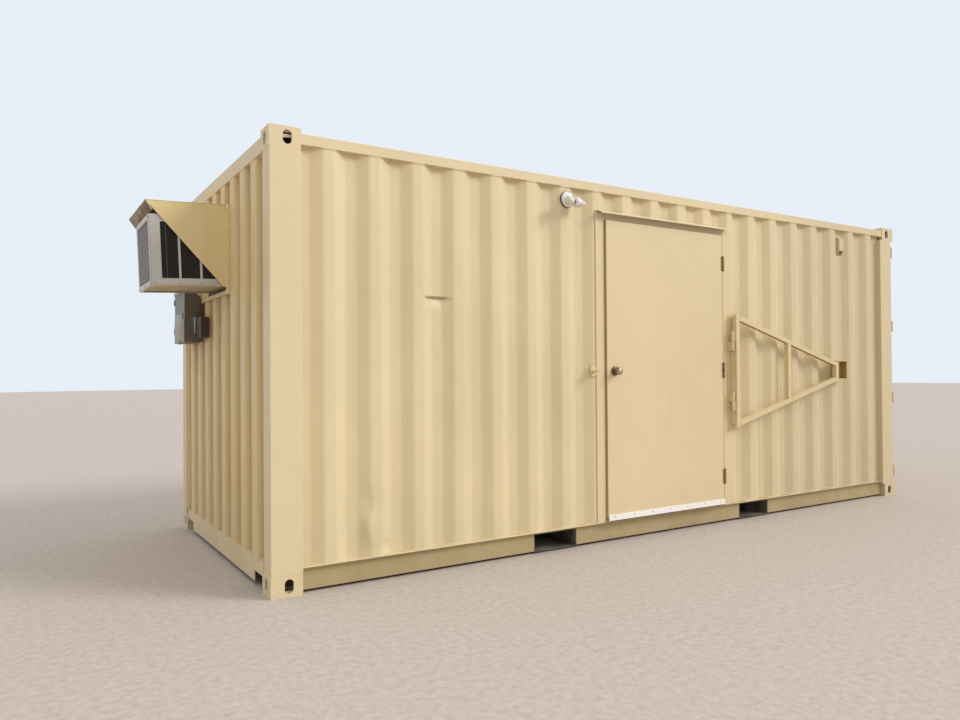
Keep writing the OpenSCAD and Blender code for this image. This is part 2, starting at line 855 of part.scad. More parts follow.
handle_x = -3074;
handle_z = 1632;
module switch_handle() {
    color([0.62, 0.62, 0.58]) translate([handle_x, switch_y0, handle_z]) union() {
        rotate([90, 0, 0]) cylinder(h = 20, d = 26, $fn = 48);
        translate([-8, -20, -112]) cube([16, 6, 112]);
    }
}

module junction_box() {
    color([0.3, 0.26, 0.22]) translate([front_x - 52, 300, 1484]) cube([52, 170, 146]);
}

// Twin flood light on a round canopy
canopy_outline = [[0, 0], [57, 0], [57, 9], [53, 16], [46, 22], [34, 27], [18, 29], [0, 30]];
neck_x = [-30, 7];
neck_z = -26;
neck_out = 52;
module light_canopy() {
    color([0.85, 0.83, 0.78]) translate([light_x, ridge_y, light_z]) rotate([90, 0, 0]) union() {
        rotate_extrude($fn = 64) polygon(canopy_outline);
        for (x = neck_x) translate([x, neck_z, 4])
            cylinder(h = neck_out - 4, d = 16, $fn = 32);
    }
}

// A bullet shaped lamp on its knuckle, pointing along its own +X before it is turned
lamp_outline = [[0, -10], [8, -10], [11, -4], [11, 4], [9, 8], [9, 12], [30, 14], [36, 20],
    [36, 28], [31, 46], [24, 64], [16, 82], [8, 94], [0, 98]];
module lamp_head(turn, down) {
    color([0.85, 0.83, 0.78]) rotate([0, 0, turn]) rotate([0, 90 + down, 0])
        rotate_extrude($fn = 64) polygon(lamp_outline);
}

knuckle_y = ridge_y - neck_out - 14;
module lamp_left() {
    translate([light_x + neck_x[0], knuckle_y, light_z + neck_z]) lamp_head(240, 8);
}

module lamp_right() {
    translate([light_x + neck_x[1], knuckle_y, light_z + neck_z]) lamp_head(-12, 8);
}

// A vent: a tall hood that is open below, with its outline as [depth, height]
vent_w = 62;
vent_deep = 30;
vent_z = [2272, 2319, 2425, 2448];
module vent_hood() {
    t = 3;
    rotate([90, 0, 90]) difference() {
        linear_extrude(vent_w) polygon([[0, vent_z[0]], [-vent_deep, vent_z[1]],
            [-vent_deep, vent_z[2]], [0, vent_z[3]]]);
        translate([0, 0, t]) linear_extrude(vent_w - 2 * t)
            polygon([[eps, vent_z[0] - eps], [-vent_deep + t, vent_z[0] - eps],
                [-vent_deep + t, vent_z[2] - t], [eps, vent_z[3] - t]]);
    }
}

// One vent in a groove near each end, on opposite sides
module wall_vents() {
    groove_y = ridge_y + side_deep;
    first = side_start + side_ridge + side_slope + 10;
    color(paint) {
        translate([first + 17 * side_pitch + right_shift, groove_y, 0]) vent_hood();
        mirror([0, 1, 0]) translate([first + side_pitch, groove_y, 0]) vent_hood();
    }
}

bottom_castings();
top_castings();
front_posts();
rear_posts();
bottom_side_rails();
top_side_rails();
front_sill();
front_header();
rear_sill();
rear_header();
near_wall_left();
near_wall_right();
near_wall_over_door();
far_wall();
front_wall();
roof_panel();
roof_end_plates();
floor_deck();
cross_members();
fork_pockets();
cargo_door_left();
cargo_door_right();
cargo_hinges();
lock_rods();
lock_gear();
door_frame();
drip_cap();
door_leaf();
door_sweep();
door_hinges();
frame_hinges();
knob_rose();
door_knob();
bar_frame();
bar_lock_box();
bar_mount();
lock_staple();
unit_hood();
unit_frame();
unit_body();
unit_grilles();
unit_tray();
switch_box();
switch_handle();
junction_box();
light_canopy();
lamp_left();
lamp_right();
wall_vents();
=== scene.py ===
"""Looks of a shipping container cabin, built around its packed construction.

Lengths are in metres, X runs along the container to its cargo doors, -Y is the side with
the personnel door and Z is up.
"""

import json
import logging
import math
from collections.abc import Callable, Iterable, Sequence
from dataclasses import dataclass, field
from enum import Enum
from functools import partial
from itertools import product

import bmesh
import bpy
from bmesh.types import BMEdge, BMesh, BMVert
from mathutils import Matrix, Vector, noise

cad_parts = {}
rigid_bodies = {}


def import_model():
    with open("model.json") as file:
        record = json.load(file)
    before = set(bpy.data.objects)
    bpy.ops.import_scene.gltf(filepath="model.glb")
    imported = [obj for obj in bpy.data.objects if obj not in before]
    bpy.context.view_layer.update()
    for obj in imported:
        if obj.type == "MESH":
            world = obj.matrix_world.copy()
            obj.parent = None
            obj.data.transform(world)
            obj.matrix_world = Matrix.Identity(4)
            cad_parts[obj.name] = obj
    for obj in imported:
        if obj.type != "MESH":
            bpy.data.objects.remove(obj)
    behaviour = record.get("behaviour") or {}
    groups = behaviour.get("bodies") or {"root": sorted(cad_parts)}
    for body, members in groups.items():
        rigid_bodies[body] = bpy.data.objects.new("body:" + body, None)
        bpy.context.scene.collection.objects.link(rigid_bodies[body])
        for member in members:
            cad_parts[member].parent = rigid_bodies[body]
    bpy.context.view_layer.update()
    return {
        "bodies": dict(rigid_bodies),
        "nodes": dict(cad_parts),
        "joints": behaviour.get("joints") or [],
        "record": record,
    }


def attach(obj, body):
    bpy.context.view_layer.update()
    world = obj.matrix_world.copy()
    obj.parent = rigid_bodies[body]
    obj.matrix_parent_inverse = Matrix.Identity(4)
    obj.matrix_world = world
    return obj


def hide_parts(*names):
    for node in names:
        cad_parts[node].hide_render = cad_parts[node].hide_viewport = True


LOG = logging.getLogger("cabin")
Triple = tuple[float, float, float]
Pair = tuple[float, float]
Point = Sequence[float]
Socket = bpy.types.NodeSocket
SIDES = (-1, 1)
UP = (0, 0, 1)
OUTWARDS = (0, -1, 0)
FORWARDS = (-1, 0, 0)
REARWARDS = (1, 0, 0)
MERGE = 1e-6


class Body(Enum):
    """The rigid bodies that pieces ride on."""

    CABIN = "cabin"
    DOOR = "personnel_door"
    KNOB = "door_knob"
    BAR = "security_bar"
    SWITCH = "switch_lever"
    LEFT_LAMP = "left_lamp"
    RIGHT_LAMP = "right_lamp"


# Finishes


def linear(colour: Triple, share: float = 1.0) -> tuple[float, float, float, float]:
    """Turns a colour of 0 to 255 a channel, as seen on a screen, into a scene colour.

    Args:
        colour: red, green and blue.
        share: how much of each is kept, less than 1 for a deeper tone.

    Returns:
        The linear colour with a full alpha.
    """
    parts = [c * share / 255 for c in colour]
    parts = [p / 12.92 if p <= 0.04045 else ((p + 0.055) / 1.055) ** 2.4 for p in parts]
    return (parts[0], parts[1], parts[2], 1.0)


class Tree:
    """A node tree, with short calls that add and join its nodes."""

    def __init__(self, owner: bpy.types.Material | bpy.types.World) -> None:
        """Empties the owner's node tree.

        Args:
            owner: the material or world.
        """
        owner.use_nodes = True
        self.tree = owner.node_tree
        self.tree.nodes.clear()

    def add(self, kind: str, inputs: dict | None = None, **settings: object) -> bpy.types.Node:
        """Adds a node.

        Args:
            kind: the node's type.
            inputs: sockets to link and plain values, by the input's name or number.
            **settings: the node's properties.

        Returns:
            The node.
        """
        node = self.tree.nodes.new(kind)
        for key, value in settings.items():
            setattr(node, key, value)
        for key, value in (inputs or {}).items():
            self.feed(node.inputs[key], value)
        return node

    def feed(self, socket: Socket, value: object) -> None:
        """Links a socket, or sets a plain value.

        Args:
            socket: the input.
            value: another node's output, or a number or colour.
        """
        if isinstance(value, bpy.types.NodeSocket):
            self.tree.links.new(value, socket)
        else:
            socket.default_value = value

    def part(self, vector: Socket, name: str) -> Socket:
        """One part of a vector, X, Y or Z."""
        return self.add("ShaderNodeSeparateXYZ", {0: vector}).outputs[name]

    def join(self, first: Socket, second: Socket | float, how: str = "ADD") -> Socket:
        """Joins two values by a sum or another operation."""
        return self.add("ShaderNodeMath", {0: first, 1: second}, operation=how).outputs[0]


class Graph(Tree):
    """The node tree of a material with one principled shader."""

    def __init__(self, name: str, roughness: float, metallic: float = 0.0) -> None:
        """Starts the material.

        Args:
            name: the material's name.
            roughness: the shader's roughness where nothing is linked to it.
            metallic: how metallic the surface is.
        """
        self.material = bpy.data.materials.new(name)
        super().__init__(self.material)
        self.shader = self.add("ShaderNodeBsdfPrincipled",
                               {"Roughness": roughness, "Metallic": metallic})
        self.add("ShaderNodeOutputMaterial", {0: self.shader.outputs[0]})
        self.place = self.add("ShaderNodeTexCoord").outputs["Object"]
        self.height: Socket | None = None

    def stretched(self, scale: Triple) -> Socket:
        """Object coordinates with a scale along each axis."""
        return self.add("ShaderNodeMapping", {"Vector": self.place, "Scale": scale}).outputs[0]

    def cloud(self, scale: Triple, detail: float = 2.0, rough: float = 0.55) -> Socket:
        """A noise between 0 and 1, stretched along the axes."""
        return self.add("ShaderNodeTexNoise", {
            "Vector": self.stretched(scale), "Scale": 1.0, "Detail": detail,
            "Roughness": rough}).outputs["Fac"]

    def window(self, value: Socket, low: float, high: float, to: Pair = (0.0, 1.0)) -> Socket:
        """Maps a range of values onto another, clamped and eased."""
        return self.add("ShaderNodeMapRange", {
            "Value": value, "From Min": low, "From Max": high, "To Min": to[0],
            "To Max": to[1]}, interpolation_type="SMOOTHSTEP").outputs[0]

    def patches(self, scale: Triple, detail: float, low: float, high: float,
                to: Pair = (0.0, 1.0), rough: float = 0.55) -> Socket:
        """A cloud with its range mapped onto another."""
        return self.window(self.cloud(scale, detail, rough), low, high, to)

    def mix(self, share: Socket | float, first: object, second: object) -> Socket:
        """Mixes two colours by a share."""
        inputs = {"Factor": share, 6: first, 7: second}
        return self.add("ShaderNodeMix", inputs, data_type="RGBA").outputs[2]

    def axis(self, name: str) -> Socket:
        """One object coordinate, X, Y or Z."""
        return self.part(self.place, name)

    def facing_down(self) -> Socket:
        """How far the surface faces the ground, 1 for straight down."""
        normal = self.add("ShaderNodeNewGeometry").outputs["Normal"]
        return self.join(self.part(normal, "Z"), -1.0, "MULTIPLY")

    def relief(self, height: Socket, depth: float) -> None:
        """Adds a bump on top of those already there.

        Args:
            height: what raises the surface.
            depth: how far it does, in metres.
        """
        inputs: dict = {"Distance": depth, "Height": height}
        if self.height is not None:
            inputs["Normal"] = self.height
        self.height = self.add("ShaderNodeBump", inputs).outputs[0]

    def done(self, colour: object, roughness: Socket | None = None) -> bpy.types.Material:
        """Joins the colour, roughness and bumps to the shader.

        Args:
            colour: a socket or a plain colour.
            roughness: a socket, or None for the shader's own value.

        Returns:
            The finished material.
        """
        for name, value in (("Base Color", colour), ("Roughness", roughness),
                            ("Normal", self.height)):
            if value is not None:
                self.feed(self.shader.inputs[name], value)
        return self.material


@dataclass(frozen=True)
class GrooveShade:
    """Painted shade in the hollows of a pressed sheet: it deepens from its ridges to its grooves.
    """

    axis: str
    ridge: float
    groove: float
    share: float


@dataclass(frozen=True)
class Paint:
    """Sprayed paint on steel, with drifts of tone, run marks, dust and small chips, and painted
    shade on faces that look down and in the grooves of pressed sheets.
    """

    name: str
    colour: Triple
    roughness: float = 0.46
    tone: float = 0.1
    runs: float = 0.1
    dust: float = 0.35
    ripple: float = 0.0016
    grain: float = 0.00012
    chips: float = 0.0
    grime: float = 0.0
    groove_shade: GrooveShade | None = None
    rear: float = 0.0
    dust_colour: Triple = (196, 184, 160)
    chip_colour: Triple = (128, 96, 62)
    grime_colour: Triple = (92, 70, 34)

    def build(self) -> bpy.types.Material:
        """Builds the node material."""
        g = Graph(self.name, self.roughness)
        deep = linear(self.colour, 0.8)
        drift = g.patches((0.9, 0.9, 0.7), 6, 0.3, 0.75, (0.0, self.tone * 2))
        colour = g.mix(drift, linear(self.colour), deep)
        marks = g.patches((9, 9, 0.35), 5, 0.52, 0.78, (0.0, self.runs * 2), 0.6)
        colour = g.mix(marks, colour, deep)
        low = g.window(g.axis("Z"), 0.62, 0.02)
        patch = g.patches((5, 5, 3), 6, 0.25, 0.8, rough=0.62)
        share = g.join(g.join(low, patch, "MULTIPLY"), self.dust, "MULTIPLY")
        colour = g.mix(share, colour, linear(self.dust_colour))
        # Painted shade: the colour darkens from the ridges into the grooves, where shade falls.
        if self.groove_shade:
            off = g.join(g.axis(self.groove_shade.axis), 0.0, "ABSOLUTE")
            inner = g.window(off, self.groove_shade.ridge, self.groove_shade.groove, (0.0, self.groove_shade.share))
            colour = g.mix(inner, colour, linear(self.colour, 0.55))
        if self.rear:
            colour = g.mix(g.window(g.axis("X"), 0.4, 2.7, (0.0, self.rear)), colour, deep)
        # Painted shade: faces that look down turn, a little unevenly, towards a dark brown shadow
        # tone.
        if self.grime:
            below = g.window(g.facing_down(), 0.2, 0.6, (0.0, self.grime))
            uneven = g.patches((11, 11, 11), 5, 0.2, 0.7, (0.7, 1.0))
            colour = g.mix(g.join(below, uneven, "MULTIPLY"), colour, linear(self.grime_colour))
        if self.chips:
            spots = g.patches((62, 62, 62), 3, 0.735, 0.765, rough=0.5)
            areas = g.patches((3.1, 3.1, 3.1), 3, 0.62 - self.chips, 0.9 - self.chips)
            colour = g.mix(g.join(spots, areas, "MULTIPLY"), colour, linear(self.chip_colour))
        if self.ripple:
            g.relief(g.cloud((3.1, 3.1, 1.7)), self.ripple * 6)
        g.relief(g.cloud((420, 420, 420)), self.grain)
        return g.done(colour, g.patches((14, 14, 8), 4, 0.3, 0.7, (
            self.roughness - 0.06, self.roughness + 0.08)))


@dataclass(frozen=True)
class Metal:
    """Bare or plated metal with a brushed or spangled look."""

    name: str
    colour: Triple
    roughness: float
    metallic: float
    spangle: float
    brush: Triple = (40, 40, 40)

    def build(self) -> bpy.types.Material:
        """Builds the node material."""
        g = Graph(self.name, self.roughness, self.metallic)
        patch = g.patches((self.spangle,) * 3, 3, 0.35, 0.65)
        g.relief(g.cloud(tuple(b * 9 for b in self.brush)), 0.0001)
        return g.done(g.mix(patch, linear(self.colour), linear(self.colour, 0.72)),
                      g.patches(self.brush, 4, 0.3, 0.7, (
                          self.roughness - 0.1, self.roughness + 0.12)))


@dataclass(frozen=True)
class Rubber:
    """Dull black seal or gasket with chalky patches."""

    name: str
    colour: Triple = (34, 33, 32)
    chalk: Triple = (92, 90, 86)

    def build(self) -> bpy.types.Material:
        """Builds the node material."""
        g = Graph(self.name, 0.75)
        g.relief(g.cloud((260, 260, 260)), 0.0002)
        share = g.patches((30, 30, 12), 4, 0.45, 0.8, (0.0, 0.35))
        return g.done(g.mix(share, linear(self.colour), linear(self.chalk)))


@dataclass(frozen=True)
class Fins:
    """The dark face of a finned coil, with close upright fins and painted shade in the slots
    between them.
    """

    name: str
    colour: Triple
    pitch: float = 0.0045
    gap_shade: float = 0.8

    def build(self) -> bpy.types.Material:
        """Builds the node material."""
        g = Graph(self.name, 0.55, 0.35)
        inputs = {"Vector": g.stretched((1, 1, 0)), "Scale": 0.45 / self.pitch, "Distortion": 0.0}
        fin = g.add("ShaderNodeTexWave", inputs, wave_type="BANDS",
                    bands_direction="DIAGONAL").outputs["Fac"]
        dirt = g.patches((12, 12, 3), 5, 0.3, 0.75)
        light = g.mix(dirt, linear(self.colour), linear(self.colour, 1.25))
        g.relief(fin, 0.0006)
        # Painted shade: the slots between the fins are darkened.
        return g.done(g.mix(fin, linear(self.colour, 1 - self.gap_shade), light))


@dataclass(frozen=True)
class Boards:
    """Worn plywood sheets laid across the floor."""

    name: str
    colour: Triple = (140, 104, 70)
    vein: Triple = (92, 66, 44)
    worn: Triple = (70, 60, 50)
    gap: Triple = (28, 20, 14)
    half_width: float = 0.61

    def build(self) -> bpy.types.Material:
        """Builds the node material."""
        g = Graph(self.name, 0.62)
        grain = g.patches((2.2, 46, 46), 8, 0.3, 0.72, rough=0.65)
        colour = g.mix(grain, linear(self.colour), linear(self.vein))
        scuff = g.patches((3.2, 3.2, 3), 6, 0.5, 0.8, (0.0, 0.6), 0.65)
        colour = g.mix(scuff, colour, linear(self.worn))
        seam = g.window(g.join(g.axis("X"), self.half_width, "PINGPONG"), 0.006, 0.0025)
        g.relief(g.join(grain, g.join(seam, 3.0, "MULTIPLY"), "SUBTRACT"), 0.0006)
        return g.done(g.mix(seam, colour, linear(self.gap)))


@dataclass(frozen=True)
class Clear:
    """The clear pressed lens of a lamp."""

    name: str
    colour: Triple = (238, 238, 232)
    edge: Triple = (206, 208, 206)

    def build(self) -> bpy.types.Material:
        """Builds the node material."""
        g = Graph(self.name, 0.16)
        g.shader.inputs["Coat Weight"].default_value = 0.8
        ring = g.patches((150, 150, 150), 2, 0.4, 0.6)
        g.relief(ring, 0.0006)
        return g.done(g.mix(ring, linear(self.colour), linear(self.edge)))


CREAM = (231, 213, 173)
smooth = partial(Paint, ripple=0.0)
clean = partial(smooth, dust=0.0)
# In these finishes, the setting for faces that look down paints shade under things, and the
# setting for grooves paints shade in the grooves.
FINISHES = {
    "frame": Paint("Frame_cream", CREAM, chips=0.05, ripple=0.001, rear=0.25),
    "rail": Paint("Rail_web_cream", (182, 163, 116), ripple=0.001, tone=0.2),
    "wall": Paint("Wall_cream", CREAM, ripple=0.0022, rear=0.38, grime=0.45,
                  groove_shade=GrooveShade("Y", 1.182, 1.176, 0.06)),
    # Painted shade: the end wall, which stands in shade, gets a warmer cream and strong darkening
    # in its grooves.
    "end_wall": Paint("End_wall_cream", (232, 207, 155), ripple=0.0022,
                      groove_shade=GrooveShade("X", 3.018, 2.982, 0.36)),
    "cargo": Paint("Cargo_cream", (226, 205, 162), ripple=0.0022,
                   groove_shade=GrooveShade("X", 2.985, 2.96, 0.2)),
    "roof": Paint("Roof_cream", (222, 203, 164), dust=0.0, tone=0.18, ripple=0.0022),
    "door": Paint("Door_cream", (232, 212, 172), runs=0.06, ripple=0.0012, dust=0.2),
    # Painted shade: a darker copy of the door's cream for the leaf's edge that faces away from the
    # sun.
    "door_edge_shade": smooth("Door_edge_shade", (196, 176, 130), tone=0.2),
    "cap": smooth("Cap_cream", (236, 217, 178), grime=0.95),
    "bar": smooth("Bar_cream", (231, 210, 166), chips=0.1, rear=0.2, grime=0.6),
    # Painted shade: a darker copy of the bar's cream for the inside of the lock box.
    "box_inside_shade": smooth("Lock_box_inside_shade", (184, 156, 98), 0.7, tone=0.4),
    # Painted light: a lighter cream than the body's makes up for the shade the hood stands in; its
    # faces that look down get painted shade.
    "hood": Paint("Hood_cream_painted_light", (238, 217, 164), dust=0.0, tone=0.2, grime=0.9),
    "hardware": smooth("Hardware_cream", (216, 196, 154), chips=0.14),
    "under": smooth("Underseal", (66, 62, 57), 0.8, tone=0.3, dust=0.6),
    "enamel": clean("Unit_enamel", (204, 202, 198), 0.4, tone=0.08),
    "pan": clean("Unit_pan", (214, 202, 160), 0.6, tone=0.4, runs=0.3),
    "strut": clean("Unit_strut", (52, 52, 48), 0.5, tone=0.2),
    # Painted shade and light: the darker enamel and the lighter lid grey are shaded and sunlit
    # copies of one grey.
    "switch": Paint("Switch_enamel_shaded", (116, 107, 96), 0.42, tone=0.2, dust=0.0, ripple=0.0006,
                    grime=0.7),
    "switch_lid_painted_light": Paint("Switch_lid_painted_light", (158, 152, 134), 0.4, tone=0.2, dust=0.0, ripple=0.0006),
    "dark_box": clean("Junction_enamel", (78, 56, 42), 0.5, tone=0.3),
    "white": clean("Light_white", (240, 238, 236), 0.38, tone=0.06),
    # Painted reflection: near-white paint stands for the bright sheen of the metal sweep under the
    # door.
    "strip": smooth("Sweep_white_sheen", (252, 251, 248), 0.36, tone=0.04, runs=0.0, dust=0.05),
    "boards": Boards("Floor_plywood"),
    "zinc": Metal("Zinc_plate", (176, 176, 172), 0.42, 0.85, 26.0),
    "aluminium": Metal("Mill_aluminium", (216, 216, 214), 0.34, 0.9, 6.0, (3, 60, 60)),
    "bronze": Metal("Dark_bronze", (122, 98, 66), 0.38, 0.5, 30.0),
    "knob": Metal("Knob_metal", (184, 170, 144), 0.36, 0.6, 30.0),
    "hinge": Metal("Hinge_steel", (172, 146, 98), 0.46, 0.2, 60.0),
    "fins": Fins("Side_fins", (34, 31, 28)),
    "coil": Fins("Coil_fins", (106, 102, 101), 0.02, 0.3),
    "rubber": Rubber("Seal_rubber"),
    "lens": Clear("Lamp_lens"),
}


class Finishes:
    """Builds each finish once and hands it out."""

    def __init__(self) -> None:
        """Starts with nothing built."""
        self.made: dict[str, bpy.types.Material] = {}

    def get(self, key: str) -> bpy.types.Material:
        """The material of a finish.

        Args:
            key: the finish's key.

        Returns:
            The material, built when it is first asked for.
        """
        if key not in self.made:
            self.made[key] = FINISHES[key].build()
        return self.made[key]


PAINTBOX = Finishes()


# Shapes


def spread(low: float, high: float, count: int) -> list[float]:
    """Evenly spaced numbers from a low one to a high one."""
    return [low + i * (high - low) / (count - 1) for i in range(count)]


def round_edges(bm: BMesh, edges: list[BMEdge], by: float, steps: int = 2) -> None:
    """Rounds some edges of a mesh."""
    bmesh.ops.bevel(bm, geom=edges, offset=by, segments=steps, profile=0.5, affect="EDGES",
                    clamp_overlap=True, material=-1)


def block(bm: BMesh, low: Point, high: Point, round_by: float, steps: int = 2,
          at: Matrix | None = None) -> None:
    """Adds a box with rounded edges.

    Args:
        bm: the mesh under construction.
        low: lowest corner.
        high: highest corner.
        round_by: how far the edges are rounded.
        steps: segments of the rounding.
        at: a turn or move for the box.
    """
    low_v, high_v = Vector(low), Vector(high)
    size = Matrix.Diagonal((*(high_v - low_v), 1.0))
    matrix = (at or Matrix()) @ Matrix.Translation((low_v + high_v) / 2) @ size
    made = bmesh.ops.create_cube(bm, size=1.0, matrix=matrix)["verts"]
    round_edges(bm, list({e for v in made for e in v.link_edges}), round_by, steps)


def pointing(origin: Point, direction: Point) -> Matrix:
    """A matrix that stands +Z at an origin along a direction."""
    turn = Vector(direction).to_track_quat("Z", "Y").to_matrix().to_4x4()
    return Matrix.Translation(Vector(origin)) @ turn


def rod(bm: BMesh, start: Point, end: Point, radius: float, sides: int,
        round_by: float = 0.0) -> None:
    """Adds a round bar between two points.

    Args:
        bm: the mesh under construction.
        start: centre of the first end.
        end: centre of the second end.
        radius: radius of the bar.
        sides: facets round the bar.
        round_by: how far the end rims are rounded.
    """
    a, b = Vector(start), Vector(end)
    made = bmesh.ops.create_cone(
        bm, cap_ends=True, cap_tris=False, segments=sides, radius1=radius, radius2=radius,
        depth=(b - a).length, matrix=pointing((a + b) / 2, b - a))["verts"]
    if round_by:
        round_edges(bm, [e for e in {e for v in made for e in v.link_edges}
                         if any(len(f.verts) > 4 for f in e.link_faces)], round_by)


def turned(bm: BMesh, outline: Sequence[Pair], origin: Point, direction: Point,
           steps: int) -> None:
    """Adds a turned shape: an outline of radius and height spun about a direction.

    Args:
        bm: the mesh under construction.
        outline: points of radius and height, from one end to the other.
        origin: where height is zero.
        direction: the axis.
        steps: facets round the axis.
    """
    place = pointing(origin, direction)
    before = set(bm.verts)
    verts = [bm.verts.new(place @ Vector((r, 0.0, h))) for r, h in outline]
    edges = [bm.edges.new(pair) for pair in zip(verts, verts[1:])]
    bmesh.ops.spin(bm, geom=verts + edges, cent=place.translation,
                   axis=place.to_3x3() @ Vector((0, 0, 1)), angle=2 * math.pi, steps=steps,
                   use_merge=True)
    fresh = [v for v in bm.verts if v not in before]
    bmesh.ops.remove_doubles(bm, verts=fresh, dist=MERGE)


def bead(bm: BMesh, path: Sequence[Vector], radius: float, uneven: float = 0.3) -> None:
    """Adds a weld bead along a path.

    Args:
        bm: the mesh under construction.
        path: the points that it follows.
        radius: radius of the bead.
        uneven: share by which the radius wanders.
    """
    last = len(path) - 1
    heading = (path[1] - path[0]).normalized()
    frame = pointing(path[0], heading)
    verts = bmesh.ops.create_circle(bm, cap_ends=False, radius=radius, segments=6,
                                    matrix=frame)["verts"]
    edges = list({e for v in verts for e in v.link_edges})
    bmesh.ops.contextual_create(bm, geom=edges)
    for i in range(1, last + 1):
        point = path[i]
        ahead = (path[min(i + 1, last)] - path[i - 1]).normalized()
        turn = heading.rotation_difference(ahead).to_matrix().to_4x4()
        new = Matrix.Translation(point) @ turn @ Matrix.Translation(-path[i - 1]) @ frame
        made = bmesh.ops.extrude_edge_only(bm, edges=edges)["geom"]
        verts = [g for g in made if isinstance(g, BMVert)]
        edges = [g for g in made if isinstance(g, BMEdge)
                 and g.verts[0] in verts and g.verts[1] in verts]
        grow = 1 + uneven * noise.noise(point * 90)
        size = Matrix.Diagonal((grow, grow, 1, 1))
        bmesh.ops.transform(bm, matrix=new @ size @ frame.inverted(), verts=verts)
        frame, heading = new, ahead
    bmesh.ops.contextual_create(bm, geom=edges)


def straight(bm: BMesh, start: Point, end: Point, count: int, radius: float) -> None:
    """Adds a straight weld bead in a count of steps."""
    a, b = Vector(start), Vector(end)
    bead(bm, [a.lerp(b, i / count) for i in range(count + 1)], radius)


def screw(bm: BMesh, at: Point, out: Point, radius: float, washer: bool = False) -> None:
    """Adds a domed screw head, on a washer if asked.

    Args:
        bm: the mesh under construction.
        at: the head's seat.
        out: the direction that it faces.
        radius: radius of the head.
        washer: whether a washer lies under it.
    """
    outline = [(1.0, 0.0), (1.0, 0.28), (0.72, 0.6), (0.0, 0.7)]
    if washer:
        outline = [(1.6, 0.0), (1.6, 0.2), (1.0, 0.22)] + [(a, h + 0.22) for a, h in outline[1:]]
    turned(bm, [(radius * a, radius * h) for a, h in outline], at, out, 14)


@dataclass
class Piece:
    """A new piece of the visual model, built in a mesh of its own by a with statement."""

    name: str
    finish: str
    slot: str
    body: Body = Body.CABIN
    stands_for: tuple[str, ...] = ()
    crease: float = 32.0
    merge: bool = False
    bm: BMesh = field(default_factory=bmesh.new)

    def __enter__(self) -> BMesh:
        """Hands out the empty mesh."""
        return self.bm

    def __exit__(self, kind: type | None, *rest: object) -> None:
        """Turns the mesh into an object, unless its building has failed.

        Args:
            kind: type of the error, None if there is none.
            *rest: the error and its trace, not used.
        """
        if kind is None:
            self.finish_off()

    def finish_off(self) -> None:
        """Turns the mesh into an object that rides on its body."""
        if self.merge:
            bmesh.ops.remove_doubles(self.bm, verts=self.bm.verts, dist=MERGE)
        bmesh.ops.recalc_face_normals(self.bm, faces=self.bm.faces)
        mesh = bpy.data.meshes.new(self.name)
        self.bm.to_mesh(mesh)
        self.bm.free()
        mesh.shade_smooth()
        mesh.set_sharp_from_angle(angle=math.radians(self.crease))
        mesh.materials.append(PAINTBOX.get(self.finish))
        piece = bpy.data.objects.new(self.name, mesh)
        bpy.context.scene.collection.objects.link(piece)
        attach(piece, self.body.value)
        if self.stands_for:
            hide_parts(*self.stands_for)
        LOG.info("%s: %d faces on %s", self.name, len(mesh.polygons), self.body.value)


def screws(piece: Piece, spots: Iterable[Point], out: Point, radius: float,
           washer: bool = False) -> None:
    """Makes a piece of screw heads that face one way.

    Args:
        piece: the empty piece.
        spots: where the heads sit.
        out: the direction that they face.
        radius: radius of the heads.
        washer: whether washers lie under them.
    """
    with piece as bm:
        for at in spots:
            screw(bm, at, out, radius, washer)


@dataclass
class Assembly:
    """A sub-assembly, with the construction nodes that it dresses."""

    nodes: dict

    def dress(self, finish: str, *names: str, by: float = 0.0, steps: int = 2) -> None:
        """Gives construction nodes their material and rounded edges.

        Args:
            finish: key of their finish.
            *names: the nodes' names.
            by: how far the edges are rounded.
            steps: segments of the rounding.
        """
        for name in names:
            piece = self.nodes[name]
            if not piece.material_slots:
                piece.data.materials.append(None)
            for holder in piece.material_slots:
                holder.material = PAINTBOX.get(finish)
            if by:
                weld = piece.modifiers.new("Weld", "WELD")
                weld.merge_threshold = 1e-5
                bevel = piece.modifiers.new("Bevel", "BEVEL")
                bevel.width, bevel.segments = by, steps
                bevel.limit_method, bevel.angle_limit = "ANGLE", math.radians(38)
                bevel.use_clamp_overlap = True
                bevel.miter_outer = "MITER_ARC"

    def repaint(self, name: str, finish: str, chosen: Callable[[Vector, Vector], bool]) -> None:
        """Gives some faces of a construction node another finish.

        Args:
            name: the node's name.
            finish: key of the other finish.
            chosen: says from a face's middle and normal whether it changes.
        """
        piece = self.nodes[name]
        piece.data.materials.append(PAINTBOX.get(finish))
        place = piece.matrix_world
        for face in piece.data.polygons:
            if chosen(place @ face.center, place.to_3x3() @ face.normal):
                face.material_index = len(piece.data.materials) - 1


# Pressed sheets


def cut(bm: BMesh, axis: int, at: float) -> None:
    """Adds edges where a plane across an axis meets the mesh.

    Args:
        bm: the mesh.
        axis: number of the axis.
        at: place of the plane along it.
    """
    place, normal = Vector(), Vector()
    place[axis], normal[axis] = at, 1.0
    bmesh.ops.bisect_plane(bm, geom=bm.verts[:] + bm.edges[:] + bm.faces[:], dist=1e-5,
                           plane_co=place, plane_no=normal)


